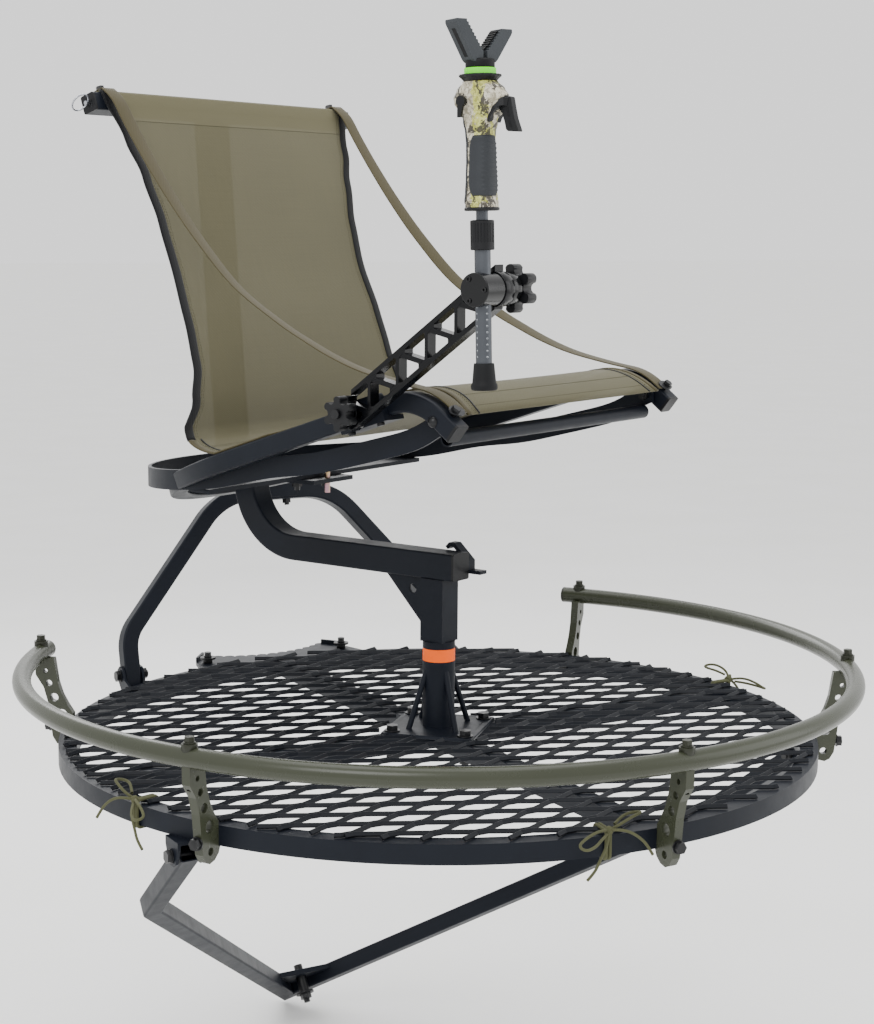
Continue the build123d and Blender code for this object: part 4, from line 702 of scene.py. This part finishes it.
BACK_ROWS = [i for i, p in enumerate(PROFILE) if p[1] >= 428 and p[0] < -200]
sling_parts = []
for side, word in ((-1, "left"), (1, "right")):
    def edge_at(i, inset, side=side):
        across = side * (1 - inset / half_width(*PROFILE[i]))
        return sling_point(i, across)

    rows = list(range(1, len(PROFILE)))
    change = BACK_ROWS[-1] + 3
    back_rows, seat_rows = rows[:change], rows[change - 1:]
    verts, faces, uvs = strip(back_rows, lambda i: edge_at(i, 6.5), 15.0, 4.4)
    sling_parts.append(piece(f"edge_binding_{word}", SEAT, verts, faces, None, "edge_binding", uvs=uvs))
    verts, faces, uvs = strip(seat_rows, lambda i: edge_at(i, 4.5), 10.0, 3.4, lift=0.4)
    sling_parts.append(piece(f"seat_piping_{word}", SEAT, verts, faces, None, "olive_webbing", uvs=uvs))
    verts, faces, uvs = strip(seat_rows, lambda i: edge_at(i, 24.5), 3.2, 2.6, lift=0.5)
    sling_parts.append(piece(f"seat_seam_{word}", SEAT, verts, faces, None, "edge_binding", uvs=uvs))
    lines = []
    for inset in (16.5, 20.5):
        lines.append([(Vector(edge_at(i, inset)) + Vector((0, NORMALS[i][0], NORMALS[i][1])) * 0.9,
                       (0, NORMALS[i][0], NORMALS[i][1])) for i in rows])
    sling_parts.append(piece(f"edge_stitching_{word}", SEAT, *stitches(lines), None, "thread"))


def row_at(distance):
    return min(range(len(PROFILE)), key=lambda i: abs(ALONG[i] - distance))


def cross_line(distance, margin=18):
    """Points and normals across the cloth, at a distance along it."""
    i = row_at(distance)
    n = (0, NORMALS[i][0], NORMALS[i][1])
    count = 24
    reach = 1 - margin / half_width(*PROFILE[i])
    line = []
    for k in range(count + 1):
        across = reach * (2 * k / count - 1)
        line.append((Vector(sling_point(i, across)) + Vector(n) * 0.9, n))
    return line


hem_lines = [cross_line(58), cross_line(62.5)]
sling_parts.append(piece("top_hem_stitching", SEAT, *stitches(hem_lines), None, "thread"))
front_lines = [cross_line(ALONG[-1] - back) for back in (9, 34, 38)]
front_lines += [cross_line(ALONG[BACK_ROWS[-1]] + on) for on in (34, 38)]
sling_parts.append(piece("seat_hem_stitching", SEAT, *stitches(front_lines), None, "thread"))

# the cloth's end behind the top bar, in two flaps beside the spine
FLAP_FROM, FLAP_TO = 24, 262
for side, word in ((-1, "left"), (1, "right")):
    line = [on_bar(-6, CLOTH_LIFT), on_bar(-11, CLOTH_LIFT), on_bar(-13.6, 13.6), on_bar(-CLOTH_LIFT, 11),
            on_bar(-CLOTH_LIFT, 2), on_bar(-CLOTH_LIFT, -9)]
    verts, uvs = [], []
    for (y, z), walked in zip(line, lengths_along(line)):
        for j in range(13):
            x = side * (FLAP_FROM + (FLAP_TO - FLAP_FROM) * j / 12)
            verts.append((x, y, z))
            uvs.append((x, walked))
    flap = piece(f"top_flap_{word}", SEAT, verts, grid_faces(len(line), 13), "backrest", "khaki_mesh_fabric",
                 "khaki_mesh_fabric", uvs=uvs)
    sling_parts.append(thickened(flap))

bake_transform(sling)
for thing in sling_parts:
    if not thing.name.startswith("top_flap"):
        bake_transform(thing)

# ---- webbing straps ------------------------------------------------------------------------
STRAP_LINE = [(-368, 876), (-345, 842), (-311, 795), (-268, 741), (-219, 687), (-154, 627), (-80, 583),
              (-30, 559), (13, 541), (60, 526), (116, 514.5)]
STRAP_X = 249
STRAP_SECTION = [(-12.5, 0), (-12.2, -0.7), (-11.3, -0.95), (0, -0.75), (11.3, -0.95), (12.2, -0.7), (12.5, 0),
                 (12.2, 0.7), (11.3, 0.95), (0, 0.75), (-11.3, 0.95), (-12.2, 0.7)]
strap_lift = TUBE_HALF + 4.7      # strap's middle surface, clear of the cloth
strap_over = arc_points(NOSE + strap_lift, radians(-12), -DROP, 6)
strap_tail = (strap_over[-1][0] + 12 * cos(DROP), strap_over[-1][1] - 12 * sin(DROP))
strap_line = [on_bar(-6, strap_lift), on_bar(4, strap_lift), on_bar(14, strap_lift)]
strap_line = strap_line[:2] + smooth_line([strap_line[2]] + [(y, z + 0.8) for y, z in STRAP_LINE]
                                          + [strap_over[0]], 9) + strap_over[1:] + [strap_tail]
strap_along = lengths_along(strap_line)
for side, word in ((-1, "left"), (1, "right")):
    verts, uvs = [], []
    total = strap_along[-1]
    for (y, z), (ny, nz), walked in zip(strap_line, normals(strap_line), strap_along):
        share = walked / total
        twist = side * radians(11) * sin(pi * min(1, max(0, (share - 0.06) / 0.86))) ** 2
        for u, v in STRAP_SECTION:
            across, off = u * cos(twist) - v * sin(twist), u * sin(twist) + v * cos(twist)
            verts.append((side * STRAP_X + across, y + ny * off, z + nz * off))
            uvs.append((u, walked))
    faces = tube_faces(len(strap_line), len(STRAP_SECTION))
    strap = piece(f"support_strap_{word}", SEAT, verts, faces, None, "olive_webbing", "olive_webbing", uvs=uvs)
    if side < 0:
        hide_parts("support_straps")
    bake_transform(strap)

# ---- handle --------------------------------------------------------------------------------
# height, half size across, half size front to back, and shift to the front
GRIP = [(91, 19.6, 19.0, 0.0), (98, 19.2, 18.6, 0.0), (112, 17.6, 17.4, 0.0), (128, 16.6, 16.5, 0.0),
        (150, 15.4, 16.0, 0.0), (166, 15.0, 16.0, 0.0), (180, 16.0, 17.0, 0.2), (192, 17.4, 20.0, 0.6),
        (204, 19.6, 27.5, 1.0), (213, 20.6, 34.0, 1.0), (220, 20.6, 35.4, 1.0), (228, 19.8, 30.0, 0.6),
        (237, 18.4, 20.5, 0.0)]
GRIP_POWER = 0.86
GRIP_RINGS = 73


def grip_point(z, angle, out):
    """A point on the handle's rounded section, moved out from its surface."""
    half_x, half_y, shift = lerp_table(GRIP, z)
    x = signed_power(cos(angle), GRIP_POWER) * (half_x + out)
    y = signed_power(sin(angle), GRIP_POWER) * (half_y + out) + shift
    return (x, y, z)


verts = []
for level in range(GRIP_RINGS):
    z = 91 + 146 * level / (GRIP_RINGS - 1)
    crease = -0.5 * exp(-((z - 222) / 1.2) ** 2) - 0.6 * exp(-((z - 96) / 1.0) ** 2)
    verts += [grip_point(z, a, crease - 0.2) for a in turns(64)]
faces = tube_faces(GRIP_RINGS, 64)
pin_v, pin_f = lathe([(2.0, -14), (2.0, 14)], 16)
pin_v = [(z, 17 + x, 212 + y) for x, y, z in pin_v]
handle = piece("handle_shell", STICK, *joined((verts, faces), (pin_v, [f[::-1] for f in pin_f])), "grip",
               "camo_handle", "camo_handle")
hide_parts("grip_body")


def pad(name, angle_from, angle_to, z_from, z_to, out, ribs, rib_side):
    """Rubber pad moulded over the handle, with raised ribs over part of its width."""
    rows, columns = 70, 30
    outer, inner = [], []
    for i in range(rows + 1):
        v = i / rows
        for j in range(columns + 1):
            u = j / columns
            near_end = max(0.0, 1 - min(v, 1 - v) / 0.16 * 0.5)
            squeeze = 1 - 0.30 * near_end ** 2.5
            angle = (angle_from + angle_to) / 2 + (u - 0.5) * (angle_to - angle_from) * squeeze
            z = z_from + (z_to - z_from) * v
            rim = min(1.0, min(u, 1 - u) * 14, min(v, 1 - v) * 22)
            height = out * (rim ** 0.5) - 0.3
            if rib_side(u) and 0.08 < v < 0.92:
                height += 0.75 * max(0.0, sin(2 * pi * v * ribs)) ** 0.7
            outer.append(grip_point(z, angle, height))
            inner.append(grip_point(z, angle, -1.4))
    width = columns + 1
    count = (rows + 1) * width
    faces = grid_faces(rows + 1, width)
    faces += [tuple(count + k for k in reversed(face)) for face in grid_faces(rows + 1, width)]
    loop = list(range(width)) + [i * width + columns for i in range(1, rows + 1)]
    loop += list(range(rows * width + columns - 1, rows * width - 1, -1))
    loop += [i * width for i in range(rows - 1, 0, -1)]
    for a, b in zip(loop, loop[1:] + loop[:1]):
        faces.append((b, a, count + a, count + b))
    return piece(name, STICK, outer + inner, faces, "grip", "grip_rubber", "camo_handle")


pad("palm_pad", radians(-22), radians(118), 107, 176, 2.0, 13, lambda u: u > 0.42)
pad("finger_pad", radians(-112), radians(-36), 98, 196, 1.3, 18, lambda u: 0.15 < u < 0.6)
verts, faces = lathe([(18.9, 90.6), (20.4, 91.0), (20.6, 93.6), (19.6, 94.4), (18.4, 94.4)], 48)
piece("handle_foot_trim", STICK, verts, faces, "grip", "black_plastic", "black_plastic")

# collar under the cradle: one flared, faceted part instead of two plain discs
COLLAR = [(14.0, 236.5), (18.6, 236.8), (20.4, 238.6), (22.6, 241.0), (24.7, 242.6), (25.0, 243.6), (24.6, 244.7),
          (20.0, 245.0), (19.0, 245.0)]
verts, faces = lathe(COLLAR, 72)
for k, (x, y, z) in enumerate(verts):
    if 238 < z < 244.8:
        groove = 1 - 0.018 * (1 + cos(24 * atan2(y, x)))
        verts[k] = (x * groove, y * groove, z)
collar = piece("cradle_collar", STICK, verts, faces, "grip", "black_plastic", "black_plastic")
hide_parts("grip_collar")

# ---- cradle --------------------------------------------------------------------------------
YOKE_LOW = 252.3
FOOT = YOKE_LOW + 6
PRONGS = ((-1, 37, 47, 9), (1, 35, 38, 8))      # side, reach, rise and number of teeth


def prong_outline(way, reach, rise, teeth):
    """Side view of one prong: outer edge up, flat overhanging top, toothed inner edge down."""
    outer = [(way * y, FOOT + z) for y, z in
             ((3, 0), (14.5, 0), (17.5, 3), (reach + 1.5, rise - 7), (reach + 3, rise - 4), (reach + 3, rise - 0.8),
              (reach + 2, rise))]
    top = (reach - 12, rise)
    low = (2.5, 12.5)
    inner = [(way * top[0], FOOT + top[1])]
    for k in range(teeth):
        for share, push in ((0.12, 0.0), (0.45, -1.3), (0.62, -1.3), (0.86, 0.0)):
            t = (k + share) / teeth
            y = top[0] + (low[0] - top[0]) * t
            z = top[1] + (low[1] - top[1]) * t
            inner.append((way * (y - push * 0.75), FOOT + z + push * 0.5))
    inner.append((way * low[0], FOOT + low[1]))
    outline = outer + inner
    return outline if way > 0 else outline[::-1]


YOKE = STICK @ Matrix.Rotation(radians(70), 4, "Z")
solids = [prism(prong_outline(*prong), -11, 11) for prong in PRONGS]
prongs = piece("cradle_prongs", YOKE, *joined(*solids), "yoke", "yoke_rubber", "black_rubber", smooth=False)
bevel(prongs, 0.9, 2, 30)
base_profile = [(8.0, 245.2), (8.0, YOKE_LOW), (16.6, YOKE_LOW), (17.0, YOKE_LOW + 0.6), (17.0, YOKE_LOW + 8),
                (16.2, YOKE_LOW + 9.6), (14.0, YOKE_LOW + 10.2), (0.5, YOKE_LOW + 10.4)]
piece("cradle_base", STICK, *lathe(base_profile, 48), "yoke", "black_rubber", "black_rubber")
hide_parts("yoke")
# dark rubber on the prongs: a strip and an oval as inlays, and dark bars that are painted shade of the grooves
# between the teeth
inlays_and_groove_shade = []
for way, reach, rise, _ in PRONGS:
    # a dark strip down the outer edge
    low_y, low_z, top_y, top_z = 17.5, 3.0, reach + 1.5, rise - 7
    run = hypot(top_y - low_y, top_z - low_z)
    dy, dz = (top_y - low_y) / run, (top_z - low_z) / run
    corner = [(way * (low_y + dy * a + dz * b), FOOT + low_z + dz * a - dy * b) for a, b in
              ((3, -0.5), (run - 4, -0.5), (run - 4, 0.15), (3, 0.15))]
    inlays_and_groove_shade.append(prism(corner if way < 0 else corner[::-1], -3.4, 3.4))
    # painted shade: dark bars across the inner edge stand in for the shade in the grooves between the teeth, and an
    # oval at its foot
    run = hypot(reach - 14.5, rise - 12.5)
    dy, dz = (reach - 14.5) / run, (rise - 12.5) / run
    for k in range(2, 9):
        along = run * k / 9.3
        corner = [(way * (2.5 + dy * a - dz * b), FOOT + 12.5 + dz * a + dy * b) for a, b in
                  ((along - 1.0, -0.8), (along + 0.9, -0.8), (along + 0.9, 1.75), (along - 1.0, 1.75))]
        inlays_and_groove_shade.append(prism(corner if way > 0 else corner[::-1], -7.6, 7.6))
    disc = []
    for a in turns(20):
        along, across = 4.4 + 4.0 * cos(a), 5.2 * sin(a)
        disc.append((across, way * (2.5 + dy * along), FOOT + 12.5 + dz * along))
    verts = [(x, y - way * dz * h, z + dy * h) for h in (1.6, -1.0) for x, y, z in disc]
    inlays_and_groove_shade.append((verts, tube_faces(2, 20)))
# the dark bars in this piece are painted groove shade, not cut slots
piece("cradle_inlays_and_painted_groove_shade", YOKE, *joined(*inlays_and_groove_shade), "yoke", "black_rubber", "black_rubber", smooth=False)

# ---- trigger -------------------------------------------------------------------------------
TRIGGER = [(10.5, 190), (11.5, 197), (16, 206), (23, 213), (31, 217.6), (39, 218.6), (44.6, 217.0), (46.4, 207),
           (49.4, 193), (54.6, 179), (54, 177.8), (40, 179), (37.6, 181), (35.6, 190), (32.6, 199), (29, 204),
           (25, 205), (20, 202), (15.6, 196.4), (13.4, 190.6)]
verts, faces = prism(TRIGGER[::-1], -4.6, 4.6)
blade = piece("trigger_blade", STICK, verts, faces, "trigger", "black_plastic", "black_plastic", smooth=False)
bevel(blade, 1.1, 3, 28)
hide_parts("trigger")
# the arch over the housing's side: y, z, half thickness and half width
ARCH = [(18.4, 190.2, 0.8, 12.8), (19.4, 195.0, 1.6, 13), (22.4, 201.6, 2.5, 13), (27.0, 207.4, 3.3, 12.6),
        (32.0, 211.0, 4.1, 11), (37.0, 212.6, 5.0, 8), (41.0, 211.4, 5.0, 5.0)]
verts = []
for (y, z, half_t, half_w), (ny, nz) in zip(ARCH, normals([(y, z) for y, z, _, _ in ARCH])):
    verts += [(x * half_w, y + ny * h * half_t, z + nz * h * half_t) for x, h in ((-1, -1), (1, -1), (1, 1), (-1, 1))]
arch = piece("trigger_arch", STICK, verts, tube_faces(len(ARCH), 4), "trigger", "black_plastic", "black_plastic",
             smooth=False)
bevel(arch, 0.7, 3, 28)
SLOTS = ([(30, 213.4), (36, 214.6), (36.6, 211.6), (31, 210.6)],
         [(38.4, 206), (41.4, 206), (43.6, 195), (40.4, 195)],
         [(40.6, 191), (43.6, 191), (46.6, 183), (43.2, 183)])
slots = [prism(outline, -4.75, 4.75) for outline in SLOTS]
piece("trigger_slots", STICK, *joined(*slots), "trigger", "black_rubber", "black_plastic", smooth=False)

# ---- marks on the stick --------------------------------------------------------------------
STICK_R = 9.5
dots = []
for angle in (radians(-20), radians(62)):
    for k in range(9):
        z0 = -78 + 7.2 * k
        verts = []
        for out, radius in ((STICK_R - 0.6, 1.35), (STICK_R + 0.02, 1.25)):
            for a in turns(12):
                turned = angle + radius * cos(a) / STICK_R
                verts.append((out * cos(turned), out * sin(turned), z0 + radius * sin(a)))
        dots.append((verts, tube_faces(2, 12)))
piece("stick_marks", STICK, *joined(*dots), "stick", "tube_dots", "stick_grey")

# rubber foot: a tapered tip with a collar and a lip
TIP = [(9.6, -92.0), (9.7, -85.6), (11.6, -85.4), (12.1, -86.6), (12.6, -92.0), (13.7, -104.0),
       (14.2, -108.6), (15.3, -110.0), (15.7, -112.0), (15.7, -114.6), (15.0, -116.2), (13.6, -117.0),
       (0.4, -117.0)]
tip = piece("stick_tip", STICK, *lathe(TIP[::-1], 56), "stick", "black_rubber", "black_rubber")
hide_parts("stick_foot")

# ---- cord bows on the rim ------------------------------------------------------------------
CORD = 3.6
CORD_AT = (0.5375, 0, 0.0075)      # metres from the platform's centre to a knot
KNOT = [(0.4, -4.6), (3.4, -4.2), (5.0, -2.2), (4.6, -0.4), (5.2, 0.8), (4.6, 3.2), (2.8, 4.6), (0.4, 4.9)]
LOOP_OUT = [(-2, 0, 0), (-10, 7, 3), (-24, 14, 4), (-40, 20, 0), (-52, 25, -6), (-47, 35, -10), (-32, 30, -8),
            (-17, 17, -4), (-6, 6, -3)]
LOOP_IN = [(2, 0, 1), (9, 5, 6), (20, 6, 12), (33, 3, 16), (44, -3, 16), (45, -14, 14), (33, -16, 13),
           (19, -9, 11), (8, -2, 6)]
TAIL_DOWN = [(-2, 3, -2), (-5, 9, -8), (-11, 13, -19), (-19, 15, -31), (-26, 17, -43), (-36, 17, -52)]
TAIL_UP = [(2, 3, 1), (9, 11, 3), (19, 17, 1), (30, 19, -6), (40, 21, -16), (46, 24, -28)]


def cord_piece(name, where, points, body):
    """Cord along a smooth curve with these control points, and its length in metres."""
    data = bpy.data.curves.new(name, "CURVE")
    data.dimensions = "3D"
    data.bevel_resolution = 4
    data.resolution_u = 10
    spline = data.splines.new("NURBS")
    spline.points.add(len(points) - 1)
    for place, p in zip(spline.points, points):
        place.co = (*at(where, p), 1)
    spline.order_u = 3
    spline.use_endpoint_u = True
    data.materials.append(MATERIALS["tie_cord"])
    thing = bpy.data.objects.new(name, data)
    bpy.context.scene.collection.objects.link(thing)
    graph = bpy.context.evaluated_depsgraph_get()
    line = bpy.data.meshes.new_from_object(thing.evaluated_get(graph))
    length = sum((line.vertices[e.vertices[0]].co - line.vertices[e.vertices[1]].co).length for e in line.edges)
    data.bevel_depth = CORD / 2 * MM
    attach(thing, body)
    return thing, length


for word, azimuth, mirror in (("left", -164, -1), ("front", -98, 1), ("right", 2, 1)):
    tie = ROW @ Matrix.Rotation(radians(azimuth), 4, "Z") @ Matrix.Translation(CORD_AT)
    knot_verts, knot_faces = lathe(KNOT, 24)
    knot = piece(f"tie_knot_{word}", tie, [(z * 0.9, x, y) for x, y, z in knot_verts], knot_faces, "platform",
                 "tie_cord", "tie_cord")
    for label, line, end in (("loop_out", LOOP_OUT, "object"), ("loop_in", LOOP_IN, "object"),
                             ("tail_down", TAIL_DOWN, "bare"), ("tail_up", TAIL_UP, "bare")):
        placed = [(y, x * mirror, z) for x, y, z in line]
        thing, length = cord_piece(f"tie_{label}_{word}", tie, placed, "platform")

# ---- floor and light -----------------------------------------------------------------------
low = CAD_BOX[0].z - 0.002
FLOOR = 60
floor_mesh = bpy.data.meshes.new("floor")
floor_mesh.from_pydata([(x * FLOOR, y * FLOOR, low) for x, y in ((-1, -1), (1, -1), (1, 1), (-1, 1))], [],
                       [(0, 1, 2, 3)])
floor = bpy.data.objects.new("floor", floor_mesh)
bpy.context.scene.collection.objects.link(floor)
paper = Nodes("studio_floor")
paper.link(paper.ramp(paper.noise(paper.vector("Object", (1, 1, 1)), 3, 2),
                      [(0.3, rgb("fafaf8")), (0.7, rgb("fdfdfc"))]), paper.shader.inputs["Base Color"])
paper.value(Roughness=0.9, Specular_IOR_Level=0.1)
floor_mesh.materials.append(paper.material)

world = bpy.data.worlds.new("studio")
world.use_nodes = True
sky = world.node_tree.nodes["Background"]
sky.inputs["Color"].default_value = (1.0, 1.0, 1.0, 1)
sky.inputs["Strength"].default_value = 1.35
bpy.context.scene.world = world


TARGET = (0.0, -0.45, 0.35)


def area_light(name, place, size, power):
    data = bpy.data.lights.new(name, "AREA")
    data.shape = "RECTANGLE"
    data.size, data.size_y = size
    data.energy = power
    light = bpy.data.objects.new(name, data)
    light.location = place
    light.rotation_euler = (Vector(TARGET) - Vector(place)).to_track_quat("-Z", "Y").to_euler()
    bpy.context.scene.collection.objects.link(light)


area_light("key", (-2.6, -2.6, 2.9), (1.8, 1.8), 70)
area_light("fill", (2.6, -2.4, 1.2), (2.2, 2.2), 28)
area_light("top", (0.2, -0.2, 3.2), (2.6, 2.6), 55)
area_light("rim_light", (0.6, 2.6, 2.0), (2.4, 1.2), 45)
